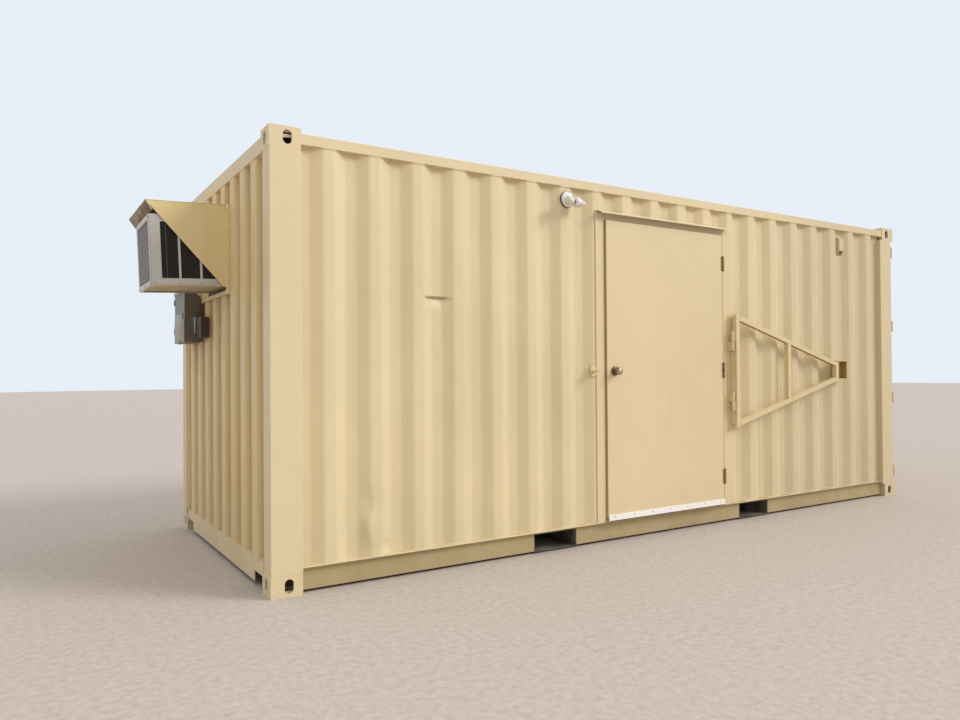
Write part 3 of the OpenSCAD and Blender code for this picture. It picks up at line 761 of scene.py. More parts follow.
@dataclass(frozen=True)
class Dent:
    """A place where the sheet has been pushed: a smooth bump with a sharp lower lip."""

    middle: Pair
    half: Pair
    depth: float
    lip: float = 0.0
    wave: float = 0.0
    side: float = 0.0

    def local(self, u: float, w: float) -> Pair:
        """A place along the wall and up it, in half sizes from the dent's middle."""
        return (u - self.middle[0]) / self.half[0], (w - self.middle[1]) / self.half[1]

    def push(self, u: float, w: float) -> float:
        """How far the sheet stands inwards at a place.

        Args:
            u: place along the wall.
            w: height.

        Returns:
            The inward displacement.
        """
        a, b = self.local(u, w)
        if abs(a) >= 1 or abs(b) >= 1:
            return 0.0
        across = (1 - a * a) ** 2
        if self.lip:
            rim = max(0.0, 1 - b / 0.2) if b >= 0 else (1 + b) ** 2
            over = self.lip * (1 - b) ** 3 * (1 - rim) if b > 0 else 0.0
            return self.depth * across ** 0.5 * (rim - over)
        along = (1 - b * b) ** 2
        swing = math.sin(b * math.pi * self.wave) if self.wave else 1.0
        return self.depth * across * along * swing

    def slide(self, u: float, w: float) -> float:
        """How far the sheet is pushed along the wall at a place.

        Args:
            u: place along the wall.
            w: height.

        Returns:
            The displacement along the wall.
        """
        a, b = self.local(u, w)
        fade = max(0.0, 1 - a * a) ** 2 * max(0.0, 1 - b * b)
        return self.side * fade * math.sin(b * math.pi * 1.5)

    def cut_for(self, bm: BMesh) -> None:
        """Adds rows and columns of vertices where the dent lies.

        Args:
            bm: the flat mesh of the sheet.
        """
        for axis, count, middle, half in ((0, 15, self.middle[0], self.half[0]),
                                          (2, 33, self.middle[1], self.half[1])):
            for i in range(count + 1):
                share = 2 * i / count - 1
                if self.lip and axis:
                    share *= abs(share)
                cut(bm, axis, middle + half * share)


@dataclass
class PressedSheet:
    """A corrugated sheet with rounded folds, which stands for a plain one."""

    name: str
    node: str
    finish: str
    start: float
    pitch: float
    ridge: float
    slope: float
    depth: float
    span: Pair
    rise: Pair
    place: Matrix
    fold: float = 0.011
    thickness: float = 0.002
    dents: tuple[Dent, ...] = ()
    hole: tuple[Pair, Pair] | None = None
    taper: Pair | None = None

    def outline(self) -> list[Pair]:
        """Finds the folds.

        Returns:
            The places of the folds and of the sheet's ends, with the depth at each.
        """
        low, high = self.span
        first = math.floor((low - self.start) / self.pitch) - 1
        steps = (0.0, self.ridge, self.ridge + self.slope, self.pitch - self.slope)
        count = math.ceil((high - low) / self.pitch) + 3
        places = [self.start + k * self.pitch + s
                  for k in range(first, first + count) for s in steps]
        places = [low] + [u for u in places if low + 1e-3 < u < high - 1e-3] + [high]
        line = []
        for u in places:
            t = (u - self.start) % self.pitch
            share = min(1.0, (t - self.ridge) / self.slope, (self.pitch - t) / self.slope)
            line.append((u, self.depth * max(0.0, share)))
        return line

    def build(self) -> None:
        """Builds the sheet."""
        low, high = self.rise
        with Piece(self.name, self.finish, "wall_paint", stands_for=(self.node,),
                   crease=60) as bm:
            verts = [bm.verts.new((u, d, low)) for u, d in self.outline()]
            edges = [bm.edges.new(pair) for pair in zip(verts, verts[1:])]
            made = bmesh.ops.extrude_edge_only(bm, edges=edges)["geom"]
            top = [g for g in made if isinstance(g, BMVert)]
            bmesh.ops.translate(bm, vec=(0, 0, high - low), verts=top)
            round_edges(bm, [e for e in bm.edges if len(e.link_faces) == 2], self.fold, 4)
            for dent in self.dents:
                dent.cut_for(bm)
            for vert in bm.verts:
                u, w = vert.co.x, vert.co.z
                vert.co.y += sum(dent.push(u, w) for dent in self.dents)
                vert.co.x += sum(dent.slide(u, w) for dent in self.dents)
            if self.hole:
                self.open_hole(bm)
            if self.taper:
                self.run_out(bm)
            bmesh.ops.recalc_face_normals(bm, faces=bm.faces)
            skin = bmesh.ops.extrude_face_region(bm, geom=list(bm.faces))["geom"]
            inner = [g for g in skin if isinstance(g, BMVert)]
            bmesh.ops.translate(bm, vec=(0, self.thickness, 0), verts=inner)
            bmesh.ops.transform(bm, matrix=self.place, verts=bm.verts)

    def run_out(self, bm: BMesh) -> None:
        """Lets the ridges slope down to the grooves near both ends.

        Args:
            bm: the mesh of the sheet.
        """
        start, end = self.taper
        for w in (-end, -start, start, end):
            cut(bm, 2, w)
        for vert in bm.verts:
            share = min(1.0, max(0.0, (abs(vert.co.z) - start) / (end - start)))
            vert.co.y += (self.depth - vert.co.y) * share

    def open_hole(self, bm: BMesh) -> None:
        """Cuts the opening out of the sheet.

        Args:
            bm: the mesh of the sheet.
        """
        for axis, ends in zip((0, 2), self.hole):
            for at in ends:
                cut(bm, axis, at)
        (u0, u1), (w0, w1) = self.hole
        inside = [f for f in bm.faces if u0 < f.calc_center_median().x < u1
                  and w0 < f.calc_center_median().z < w1]
        bmesh.ops.delete(bm, geom=inside, context="FACES")

    def edge_path(self, height: float, proud: float) -> list[Vector]:
        """The line of the sheet's outer face at a height, for a weld that stands proud."""
        return [self.place @ Vector((u, d - proud, height)) for u, d in self.outline()]


NEAR_PLACE = Matrix.Translation((0, -1.211, 0))
FAR_PLACE = Matrix.Diagonal((1, -1, 1, 1)) @ NEAR_PLACE
FRONT_PLACE = Matrix.Translation((-3.021, 0, 0)) @ Matrix(
    ((0, 1, 0, 0), (1, 0, 0, 0), (0, 0, 1, 0), (0, 0, 0, 1)))
ROOF_PLACE = Matrix.Translation((0, 0, 2.585)) @ Matrix(
    ((1, 0, 0, 0), (0, 0, 1, 0), (0, -1, 0, 0), (0, 0, 0, 1)))
CREASE = Dent((-1.994, 1.682), (0.106, 0.085), 0.018, lip=0.12)
KNOCKS = (Dent((-2.425, 0.4), (0.09, 0.245), 0.005, wave=1.2, side=0.02),
          Dent((-2.345, 0.2), (0.05, 0.055), 0.009))
side_wall = partial(PressedSheet, finish="wall", start=-2.722, pitch=0.281, ridge=0.072,
                    slope=0.068, depth=0.036, rise=(0.15, 2.503), place=NEAR_PLACE)


@dataclass
class Sheets(Assembly):
    """The pressed walls and the roof, with their welds."""

    right_start: float = -2.748
    lintel_low: float = 2.354
    inset: float = 0.0022

    def build(self) -> None:
        """Builds the sheets and the welds along their edges."""
        walls = (
            side_wall("Near_wall_front_part", "near_wall_left", span=(-2.851, -0.718),
                      dents=(CREASE, *KNOCKS)),
            side_wall("Near_wall_rear_part", "near_wall_right", span=(0.682, 2.819),
                      start=self.right_start),
            side_wall("Near_wall_lintel", "near_wall_over_door", span=(-0.718, 0.682),
                      rise=(self.lintel_low, 2.503)),
            side_wall("Far_wall_sheet", "far_wall", span=(-2.851, 2.819), place=FAR_PLACE),
            PressedSheet("Front_wall_sheet", "front_wall", "end_wall", -0.917, 0.25, 0.11,
                         0.018, 0.045, (-1.09, 1.09), (0.16, 2.473), FRONT_PLACE, fold=0.006,
                         hole=((-0.238, 0.288), (1.772, 2.31))))
        roof = PressedSheet("Roof_sheet", "roof_panel", "roof", -2.639, 0.209, 0.072, 0.018,
                            0.02, (-2.739, 2.739), (-1.199, 1.199), ROOF_PLACE, fold=0.006,
                            taper=(1.14, 1.175))
        for sheet in (*walls, roof):
            sheet.build()
        with Piece("Wall_welds", "frame", "cream_paint", crease=80) as bm:
            for sheet in walls:
                low, high = sheet.rise
                for height in (low + self.inset, high - self.inset):
                    bead(bm, sheet.edge_path(height, 0.0005), 0.0032)


# The steel frame


@dataclass
class SteelFrame(Assembly):
    """Castings, posts, rails, sills and what lies under the floor."""

    half: Pair = (3.029, 1.219)
    casting: float = 0.178
    post_reach: float = 0.129
    post_edge: float = 2.8512
    rear_beads: Pair = (2.994, 2.82)

    def build(self) -> None:
        """Dresses the nodes and adds the welds of the corners and the deck's screws."""
        for name, by in (("bottom_castings", 0.009), ("top_castings", 0.009),
                         ("front_posts", 0.0045), ("rear_posts", 0.003),
                         ("bottom_side_rails", 0.0016), ("top_side_rails", 0.0022),
                         ("front_sill", 0.0018), ("front_header", 0.003), ("rear_sill", 0.003),
                         ("rear_header", 0.003), ("roof_end_plates", 0.0012)):
            self.dress("frame", name, by=by, steps=3)
        self.repaint("bottom_side_rails", "rail", lambda at, out: abs(at.y) < 1.19)
        # Painted shade with rust: the inner faces of the hollow castings take the dark underseal
        # colour.
        for name, low, high in (("bottom_castings", 0.027, 0.103), ("top_castings", 2.488, 2.564)):
            self.repaint(name, "under", lambda at, out, low=low, high=high:
                         2.866 < abs(at.x) < 3.0135 and 1.072 < abs(at.y) < 1.2035
                         and low < at.z < high)
        self.dress("under", "cross_members", "fork_pockets", by=0.0008)
        self.dress("boards", "floor_deck", by=0.003)
        self.corner_welds()
        with Piece("Deck_screws", "zinc", "galvanised_steel") as bm:
            for x, y in product(spread(-2.76, 2.64, 19), spread(-1.08, 1.08, 9)):
                turned(bm, ((0.006, 0), (0.006, 0.0008), (0, 0.0012)), (x, y, 0.158), UP, 8)

    def corner_welds(self) -> None:
        """Adds beads where posts, rails and castings meet."""
        hx, hy = self.half
        front = 0.0045 - hx, self.casting + 0.002 - hx
        face, inner = 0.0042 - hx, hy - self.post_reach
        with Piece("Corner_welds", "frame", "cream_paint", crease=80) as bm:
            for sx, sy in product(SIDES, SIDES):
                x0, x1 = self.rear_beads if sx > 0 else front
                y = sy * (hy - 0.0056)
                for z in (0.1185, 2.4725):
                    straight(bm, (x0, y, z), (x1, y, z), 14, 0.0038)
                    if sx < 0:
                        straight(bm, (face, y, z), (face, sy * inner, z), 9, 0.0038)
                x, y = sx * self.post_edge, sy * (hy - 0.0048)
                for z in (2.512, 2.555):
                    straight(bm, (x, y, z - 0.008), (x, y, z + 0.008), 4, 0.003)
            for sy, x in product(SIDES, (-self.post_edge, 2.8195)):
                y = sy * (hy - 0.0028)
                straight(bm, (x, y, 0.13), (x, y, 2.46), 60, 0.0022)


# The shut cargo doors


@dataclass
class CargoEnd(Assembly):
    """Seals, cams and catches of the cargo doors."""

    face: float = 2.988
    rods: Pair = (0.19, 0.9)
    rod_x: float = 3.006
    keeper: float = 3.013
    hinges: tuple[float, ...] = (0.239, 0.947, 1.644, 2.364)
    pin: Pair = (3.0178, 1.2078)

    def build(self) -> None:
        """Dresses the nodes and adds the small pieces."""
        self.dress("cargo", "cargo_door_left", "cargo_door_right", by=0.004, steps=3)
        self.dress("hardware", "cargo_hinges", by=0.0018)
        self.dress("zinc", "lock_rods")
        self.dress("hardware", "lock_gear", by=0.0018)
        self.seals()
        self.cams()
        self.bolts()

    def seals(self) -> None:
        """Adds the rubber lips round both leaves."""
        x0, x1 = self.face - 0.022, self.face + 0.003
        lips = ((0.0005, 0.0115, 0.166, 2.472), (1.1362, 1.1425, 0.166, 2.472),
                (0.012, 1.136, 0.1585, 0.1638), (0.012, 1.136, 2.4742, 2.4798))
        with Piece("Cargo_seals", "rubber", "dark_box") as bm:
            for sy, (near, far, z0, z1) in product(SIDES, lips):
                y0, y1 = sorted((sy * near, sy * far))
                block(bm, (x0, y0, z0), (x1, y1, z1), 0.002)

    def cams(self) -> None:
        """Adds cams, keepers and handle hubs on the lock rods."""
        x, face = self.rod_x, self.face
        with Piece("Cargo_cams", "hardware", "hardware_paint") as bm:
            for sy, rod_y in product(SIDES, self.rods):
                y = sy * rod_y
                for z in (0.143, 2.497):
                    rod(bm, (x, y, z - 0.014), (x, y, z + 0.014), 0.0205, 28, 0.003)
                    block(bm, (x - 0.006, y - 0.034, z - 0.01),
                          (x + 0.014, y + 0.034, z + 0.01), 0.004)
                    for y0, y1 in ((y - 0.042, y - 0.036), (y + 0.036, y + 0.042)):
                        block(bm, (face, y0, z - 0.021), (self.keeper, y1, z + 0.021), 0.0015)
                rod(bm, (x, y, 1.01), (x, y, 1.064), 0.0195, 28, 0.003)
                y0, y1 = sorted((y + sy * 0.27, y + sy * 0.317))
                block(bm, (face, y0, 0.995), (3.0215, y1, 1.018), 0.003)

    def bolts(self) -> None:
        """Adds the hinge pins and the bolt heads of the hinge straps and rod guides."""
        x, y = self.pin
        with Piece("Cargo_hinge_pins", "hardware", "hardware_paint") as bm:
            for sy, z in product(SIDES, self.hinges):
                rod(bm, (x, sy * y, z - 0.052), (x, sy * y, z + 0.052), 0.0108, 24, 0.002)
        large = ((0.01, 0), (0.01, 0.005), (0.007, 0.008), (0, 0.009))
        small = ((0.0075, 0), (0.0075, 0.004), (0, 0.006))
        with Piece("Cargo_bolts", "zinc", "galvanised_steel") as bm:
            for sy in SIDES:
                for z, y, dz in product(self.hinges, (0.975, 1.03, 1.09), (-0.018, 0.018)):
                    turned(bm, large, (self.face + 0.009, sy * y, z + dz), REARWARDS, 6)
                for y, z, dy in product(self.rods, (0.45, 1.21, 2.21), (-0.034, 0.034)):
                    turned(bm, small, (self.face + 0.032, sy * y + dy, z), REARWARDS, 6)


# The personnel door


@dataclass
class PersonnelDoor(Assembly):
    """Leaf, frame, knob and hinges of the side door."""

    left: float = -0.652
    right: float = 0.562
    low: float = 0.176
    high: float = 2.305
    face: float = -1.237
    casing: float = -1.219
    knob_at: Pair = (-0.582, 1.226)
    pin: Pair = (0.5645, -1.243)
    hinges: Triple = (0.382, 1.226, 2.077)

    def build(self) -> None:
        """Dresses the nodes and builds the knob and small pieces."""
        self.dress("door", "door_frame", by=0.0018, steps=3)
        self.dress("cap", "drip_cap", by=0.0005)
        self.dress("door", "door_leaf", by=0.0022, steps=3)
        # Painted shade: the leaf's faces that look towards the front end, away from the sun, take
        # a darker cream.
        self.repaint("door_leaf", "door_edge_shade", lambda at, out: out.x < -0.9)
        # Painted reflection: the sweep's near-white paint stands for its bright sheen.
        self.dress("strip", "door_sweep", by=0.0008)
        self.dress("hinge", "door_hinges", "frame_hinges", by=0.0007)
        self.dress("bronze", "knob_rose", by=0.004, steps=4)
        self.knob()
        self.lock()
        self.hinge_tips()
        self.seal()
        self.edge_seam()
        self.sweep_screws()

    def knob(self) -> None:
        """Builds the round knob with the key cylinder in its face."""
        x, z = self.knob_at
        seat = (x, self.face - 0.012, z)
        with Piece("Knob_grip", "knob", "bronze", Body.KNOB, ("door_knob",), 50) as bm:
            turned(bm, ((0, 0.0002), (0.013, 0.0002), (0.0122, 0.0035), (0.0112, 0.007),
                        (0.011, 0.019), (0.014, 0.0215), (0.02, 0.0245), (0.025, 0.029),
                        (0.0274, 0.0345), (0.028, 0.04), (0.0268, 0.0445), (0.024, 0.0485),
                        (0.018, 0.0515), (0.0105, 0.0526), (0.01, 0.0518), (0, 0.0518)),
                   seat, OUTWARDS, 56)
        with Piece("Knob_key_cylinder", "aluminium", "bronze", Body.KNOB, crease=40) as bm:
            turned(bm, ((0, 0.0515), (0.0092, 0.0515), (0.0092, 0.0524), (0.0086, 0.0529),
                        (0, 0.0529)), seat, OUTWARDS, 36)
        y = seat[1] - 0.0528
        with Piece("Knob_keyhole", "rubber", "bronze", Body.KNOB) as bm:
            block(bm, (x - 0.0009, y - 0.0002, z - 0.0042), (x + 0.0009, y + 0.001, z + 0.0042),
                  0.0001, 1)

    def lock(self) -> None:
        """Adds the rose's raised ring and the latch plate in the leaf's edge."""
        x, z = self.knob_at
        with Piece("Knob_rose_ring", "bronze", "bronze", Body.DOOR, crease=40) as bm:
            turned(bm, ((0.0165, 0), (0.0165, 0.0022), (0.019, 0.003), (0.0255, 0.0012),
                        (0.0285, 0)), (x, self.face - 0.0119, z), OUTWARDS, 48)
        edge = self.left - 0.0012
        with Piece("Latch_plate", "aluminium", "bare_aluminium", Body.DOOR) as bm:
            block(bm, (edge, self.face + 0.01, z - 0.055),
                  (edge + 0.0018, self.face + 0.036, z + 0.055), 0.0004)
            for dz in (-0.042, 0.042):
                screw(bm, (edge, self.face + 0.023, z + dz), FORWARDS, 0.0035)

    def hinge_tips(self) -> None:
        """Adds pin heads and screws to the three hinges."""
        x, y = self.pin
        head = ((0, 0), (0.0057, 0), (0.0057, 0.003), (0.004, 0.006), (0, 0.0068))
        with Piece("Hinge_pin_heads", "hinge", "hinge_steel") as bm:
            for z, s in product(self.hinges, SIDES):
                turned(bm, head, (x, y, z + s * 0.0566), (0, 0, s), 20)
        for name, body, dx, wall in (("Leaf", Body.DOOR, -0.0155, self.face),
                                     ("Frame", Body.CABIN, 0.0125, self.casing)):
            screws(Piece(f"{name}_hinge_screws", "hinge", "hinge_steel", body),
                   ((x + dx, wall - 0.002, z + dz) for z, dz in
                    product(self.hinges, (-0.045, -0.015, 0.015, 0.045))), OUTWARDS, 0.0036)

    def seal(self) -> None:
        """Adds the rubber seal on the frame's stop."""
        y0, y1 = self.face + 0.0465, self.face + 0.0502
        with Piece("Door_seal", "rubber", "dark_box") as bm:
            for x0 in (self.left - 0.003, self.right - 0.007):
                block(bm, (x0, y0, 0.17), (x0 + 0.01, y1, 2.3), 0.0012)
            block(bm, (self.left, y0, 2.294), (self.right, y1, 2.304), 0.0012)

    def edge_seam(self) -> None:
        """Adds the folded seams along the upright edges and the top of the leaf, and a dark strip
        down the leaf's right edge that is painted shade of the gap there.
        """
        y, z = self.face + 0.0006, self.high - 0.006
        with Piece("Leaf_edge_seams", "door", "door_paint", Body.DOOR, crease=60) as bm:
            for x in (self.left + 0.0012, self.right - 0.0012):
                rod(bm, (x, self.face + 0.023, self.low + 0.004),
                    (x, self.face + 0.023, self.high - 0.004), 0.0016, 8)
            rod(bm, (self.left + 0.006, y, z), (self.right - 0.006, y, z), 0.0012, 8)
        # Painted shade: a darker strip stands for the shaded gap beside the leaf's right edge.
        with Piece("Leaf_right_gap_shade", "rail", "door_paint", Body.DOOR) as bm:
            block(bm, (self.right - 0.0085, self.face - 0.0005, self.low + 0.003),
                  (self.right - 0.0005, self.face + 0.001, self.high - 0.003), 0.0004, 1)

    def sweep_screws(self) -> None:
        """Adds the screws of the strip under the leaf and the dark lip along its foot."""
        screws(Piece("Sweep_screws", "zinc", "galvanised_steel", Body.DOOR),
               ((x, self.face - 0.006, 0.186)
                for x in spread(self.left + 0.06, self.right - 0.06, 7)), OUTWARDS, 0.0042)
        with Piece("Sweep_lip", "rubber", "dark_box", Body.DOOR) as bm:
            block(bm, (self.left + 0.005, self.face - 0.0064, 0.1556),
                  (self.right - 0.005, self.face - 0.001, 0.1605), 0.0008)


# The security bar


@dataclass
class SecurityBar(Assembly):
    """The swinging bar, its lock box, hinges and staple."""

    axis: Pair = (0.645, -1.262)
    root: float = 0.667
    tip: float = 2.03
    tube: float = 0.038
    strut: float = 1.319
    top: Pair = (1.674, 1.284)
    low: Pair = (0.768, 1.128)
    casing: float = -1.2192
    fixed_ends: tuple[Pair, Pair] = ((1.3825, -1), (1.0445, 1))
    moving_ends: tuple[Pair, Pair] = ((1.5275, 1), (0.8995, -1))

    def build(self) -> None:
        """Dresses the nodes and adds welds, pins and caps."""
        for name, by in (("bar_frame", 0.0028), ("bar_lock_box", 0.0009),
                         ("bar_mount", 0.0012), ("lock_staple", 0.0016)):
            self.dress("bar", name, by=by, steps=3)
        # Painted shade: the inner faces of the lock box take the darker copy of the cream.
        self.repaint("bar_lock_box", "box_inside_shade", lambda at, out:
                     2.0315 < at.x < 2.1515 and 1.1415 < at.z < 1.2985
                     and -1.2829 < at.y < -1.2275)
        self.pins()
        self.joint_welds()
        with Piece("Bar_mount_welds", "bar", "bar_paint", crease=80) as bm:
            for x, z in product((0.63, 0.69), (0.8, 1.05, 1.3, 1.55)):
                straight(bm, (x, self.casing, z), (x, self.casing, z + 0.06), 8, 0.003)

    def pins(self) -> None:
        """Adds the hinge pins' heads."""
        x, y = self.axis
        head = ((0, 0), (0.0112, 0), (0.0112, 0.003), (0.008, 0.007), (0, 0.008))
        for name, body, ends in (("Bar_pin_heads", Body.CABIN, self.fixed_ends),
                                 ("Bar_barrel_caps", Body.BAR, self.moving_ends)):
            with Piece(name, "bar", "bar_paint", body) as bm:
                for z, way in ends:
                    turned(bm, head, (x, y, z - way * 0.0005), (0, 0, way), 24)

    def edge(self, ends: Pair, x: float) -> float:
        """Height of a sloping tube's outer edge at a place along the bar."""
        return ends[0] + (ends[1] - ends[0]) * (x - self.root) / (self.tip - self.root)

    def joint_welds(self) -> None:
        """Adds beads where the tubes meet and where the box sits on the tip."""
        tube = self.tube
        y0, y1 = self.axis[1] - tube / 2, self.axis[1] + tube / 2
        inner = self.root + tube
        with Piece("Bar_welds", "bar", "bar_paint", Body.BAR, crease=80) as bm:
            for z, way in ((self.edge(self.top, inner) - tube, 1),
                           (self.edge(self.low, inner) + tube, -1)):
                for y in (y0, y1):
                    straight(bm, (inner, y, z), (inner, y, z + way * tube), 7, 0.0026)
            for x in (self.strut, self.strut + tube):
                for z in (self.edge(self.top, x) - tube, self.edge(self.low, x) + tube):
                    for y in (y0, y1):
                        bead(bm, [Vector((x, y, z + dz)) for dz in (-0.004, 0, 0.004)], 0.003, 0)
            for z in (1.141, 1.299):
                straight(bm, (self.tip, y0 + 0.004, z), (self.tip, y1 - 0.004, z), 5, 0.0028)


# The cooling unit and the switch boxes


@dataclass
class CoolingUnit(Assembly):
    """Case, fins, guard and hood of the cooling unit."""

    out: float = 0.438
    width: float = 0.51
    height: float = 0.445
    tilt: float = 2.3
    corner: Triple = (-3.029, -0.23, 1.797)
    rim: float = 0.034
    side_rim: float = 0.028
    fold: float = 0.0012

    @property
    def place(self) -> Matrix:
        """Where the unit's own level frame stands."""
        return Matrix.Translation(self.corner) @ Matrix.Rotation(math.radians(-self.tilt), 4, "Y")

    def put(self, x: float, y: float, z: float) -> Vector:
        """A place of the unit's own frame in the model's frame."""
        return self.place @ Vector((x, y, z))

    def build(self) -> None:
        """Dresses the nodes and adds the guard, the case's trim and screws."""
        self.dress("hood", "unit_hood", by=0.0008)
        self.dress("hood", "unit_frame", by=0.0012)
        self.dress("enamel", "unit_body", by=0.0012)
        self.dress("fins", "unit_grilles")
        self.repaint("unit_grilles", "coil", lambda at, out: at.x < -3.459)
        self.dress("pan", "unit_tray", by=0.0005)
        self.guard()
        self.case_trim()
        self.case_screws()
        self.hood_trim()

    def guard(self) -> None:
        """Adds the wire guard over the coil."""
        x, w, h = 0.0015 - self.out, self.width, self.height
        with Piece("Coil_guard", "enamel", "unit_enamel", crease=60) as bm:
            for y in spread(0.048, w - 0.048, 12):
                rod(bm, self.put(x, y, self.rim), self.put(x, y, h - self.rim), 0.0011, 6)
            x += 0.001
            for z in spread(0.06, h - 0.06, 9):
                rod(bm, self.put(x, self.side_rim, z), self.put(x, w - self.side_rim, z),
                    0.0011, 6)

    def case_trim(self) -> None:
        """Adds the case's folded corners, its front bezel and its side struts."""
        w, h, x = self.width, self.height, -self.out
        rim, side = self.rim, self.side_rim
        with Piece("Unit_case_trim", "enamel", "unit_enamel", crease=50) as bm:
            for y0, z0, y1, z1 in ((0, 0, w, rim), (0, h - rim, w, h), (0, rim, side, h - rim),
                                   (w - side, rim, w, h - rim)):
                block(bm, (x - 0.006, y0, z0), (x - 0.0002, y1, z1), 0.0022, 2, self.place)
            for y0 in (-self.fold, w):
                block(bm, (x + 0.004, y0, 0.004), (-0.01, y0 + self.fold, 0.03), 0.0005, 1,
                      self.place)
        with Piece("Unit_side_struts", "strut", "coil_fins") as bm:
            for y0 in (0.001, w - 0.0028):
                block(bm, (x + 0.086, y0, 0.0465), (x + 0.095, y0 + 0.0018, h - 0.0465), 0.0004,
                      1, self.place)

    def case_screws(self) -> None:
        """Adds the screws of the bezel and of the case's sides."""
        w, h, x = self.width, self.height, -self.out
        turn = self.place.to_3x3()
        with Piece("Unit_screws", "zinc", "galvanised_steel") as bm:
            for y, z in product((0.014, w / 2, w - 0.014), (0.016, h - 0.016)):
                screw(bm, self.put(x - 0.006, y, z), turn @ Vector(FORWARDS), 0.0055)
            for dx in (0.022, 0.166, 0.292, 0.42):
                for y, s in ((-self.fold, -1), (w + self.fold, 1)):
                    screw(bm, self.put(x + dx, y, 0.017), turn @ Vector((0, s, 0)), 0.0048)

    def hood_trim(self) -> None:
        """Adds the hood's weld lines and the screws of its wall frame."""
        with Piece("Hood_welds", "hood", "hood_paint", crease=80) as bm:
            for y in (-0.2402, 0.5002):
                straight(bm, (-3.508, y, 2.3065), (-3.031, y, 2.3255), 24, 0.0018)
                straight(bm, (-3.0292, y, 1.8), (-3.0292, y, 2.32), 30, 0.0026)
        screws(Piece("Hood_frame_screws", "hood", "hood_paint"),
               product((self.corner[0],), (-0.27, 0.53), (1.79, 1.97, 2.15, 2.3)), FORWARDS,
               0.0065, washer=True)


@dataclass
class SwitchGear(Assembly):
    """The fused switch, its handle and the junction box."""

    low: Triple = (-3.143, 0.524, 1.458)
    high: Triple = (-3.035, 0.904, 1.843)
    pivot: Triple = (-3.074, 0.524, 1.632)
    small_lid: float = -3.0765
    nipple: Pair = (-3.052, 1.52)

    def build(self) -> None:
        """Dresses the nodes and adds lids, hinges, latch and nipple."""
        self.dress("switch", "switch_box", by=0.0025, steps=3)
        self.dress("dark_box", "junction_box", by=0.002, steps=3)
        self.lid()
        self.handle()
        self.small_box()

    def lid(self) -> None:
        """Adds the switch's lid with its lip, hinge and latch, in a lighter grey that is painted
        sunlight below the unit's shadow.
        """
        (x0, y0, z0), (_, y1, z1) = self.low, self.high
        latch = x0 - 0.009
        # Painted light: the lid's lighter grey stands for sunlight on the box's lower front.
        with Piece("Switch_lid_painted_light", "switch_lid_painted_light", "switch_enamel", crease=50) as bm:
            block(bm, (x0 - 0.004, y0 + 0.004, z0 + 0.004), (x0, y1 - 0.004, z0 + 0.172), 0.0018)
            block(bm, (x0 - 0.006, y0 + 0.002, z1 - 0.024), (x0, y1 - 0.002, z1 + 0.002), 0.002)
            block(bm, (x0 - 0.0055, y0 + 0.06, z0 + 0.06),
                  (x0 - 0.003, y1 - 0.06, z0 + 0.215), 0.0012)
            for z in (z0 + 0.07, z0 + 0.29):
                rod(bm, (x0 - 0.002, y1 + 0.003, z), (x0 - 0.002, y1 + 0.003, z + 0.045),
                    0.0048, 16, 0.001)
            block(bm, (latch, y0 + 0.15, z0 - 0.01), (x0 + 0.006, y0 + 0.2, z0 + 0.022), 0.002)
        with Piece("Switch_screws", "zinc", "galvanised_steel") as bm:
            for y in (y0 + 0.022, y1 - 0.022):
                screw(bm, (x0 - 0.006, y, z1 - 0.011), FORWARDS, 0.005)
            screw(bm, (latch, y0 + 0.175, z0 + 0.006), FORWARDS, 0.006)

    def handle(self) -> None:
        """Builds the side handle with its hub and blade."""
        x, y, z = self.pivot
        with Piece("Switch_handle", "aluminium", "handle_metal", Body.SWITCH,
                   ("switch_handle",), 45) as bm:
            turned(bm, ((0, 0), (0.0128, 0), (0.0128, 0.01), (0.01, 0.014), (0.01, 0.0195),
                        (0, 0.0198)), (x, y - 0.0002, z), OUTWARDS, 36)
            block(bm, (x - 0.0075, y - 0.0197, z - 0.111), (x + 0.0075, y - 0.0145, z - 0.004),
                  0.0022, 3)
            rod(bm, (x, y - 0.0196, z - 0.098), (x, y - 0.014, z - 0.098), 0.0078, 28, 0.002)
        with Piece("Switch_handle_plate", "switch", "switch_enamel") as bm:
            block(bm, (x - 0.024, y - 0.0022, z - 0.06), (x + 0.024, y + 0.0002, z + 0.045),
                  0.0009)

    def small_box(self) -> None:
        """Adds the junction box's lid, its screws and the nipple between the boxes."""
        with Piece("Junction_lid", "dark_box", "dark_box", crease=50) as bm:
            block(bm, (self.small_lid, 0.297, 1.4815), (-3.0728, 0.473, 1.6325), 0.0015)
        screws(Piece("Junction_screws", "zinc", "galvanised_steel"),
               product((self.small_lid,), (0.309, 0.461), (1.494, 1.62)), FORWARDS, 0.0042)
        x, z = self.nipple
        nut = ((0.0125, -0.0045), (0.0195, -0.0045), (0.0195, 0.0045), (0.0125, 0.0045))
        with Piece("Conduit_nipple", "zinc", "galvanised_steel", crease=40) as bm:
            rod(bm, (x, 0.47, z), (x, 0.5242, z), 0.0125, 24)
            for y in (0.4755, 0.5175):
                turned(bm, nut, (x, y, z), (0, 1, 0), 6)


# The flood light and the vents


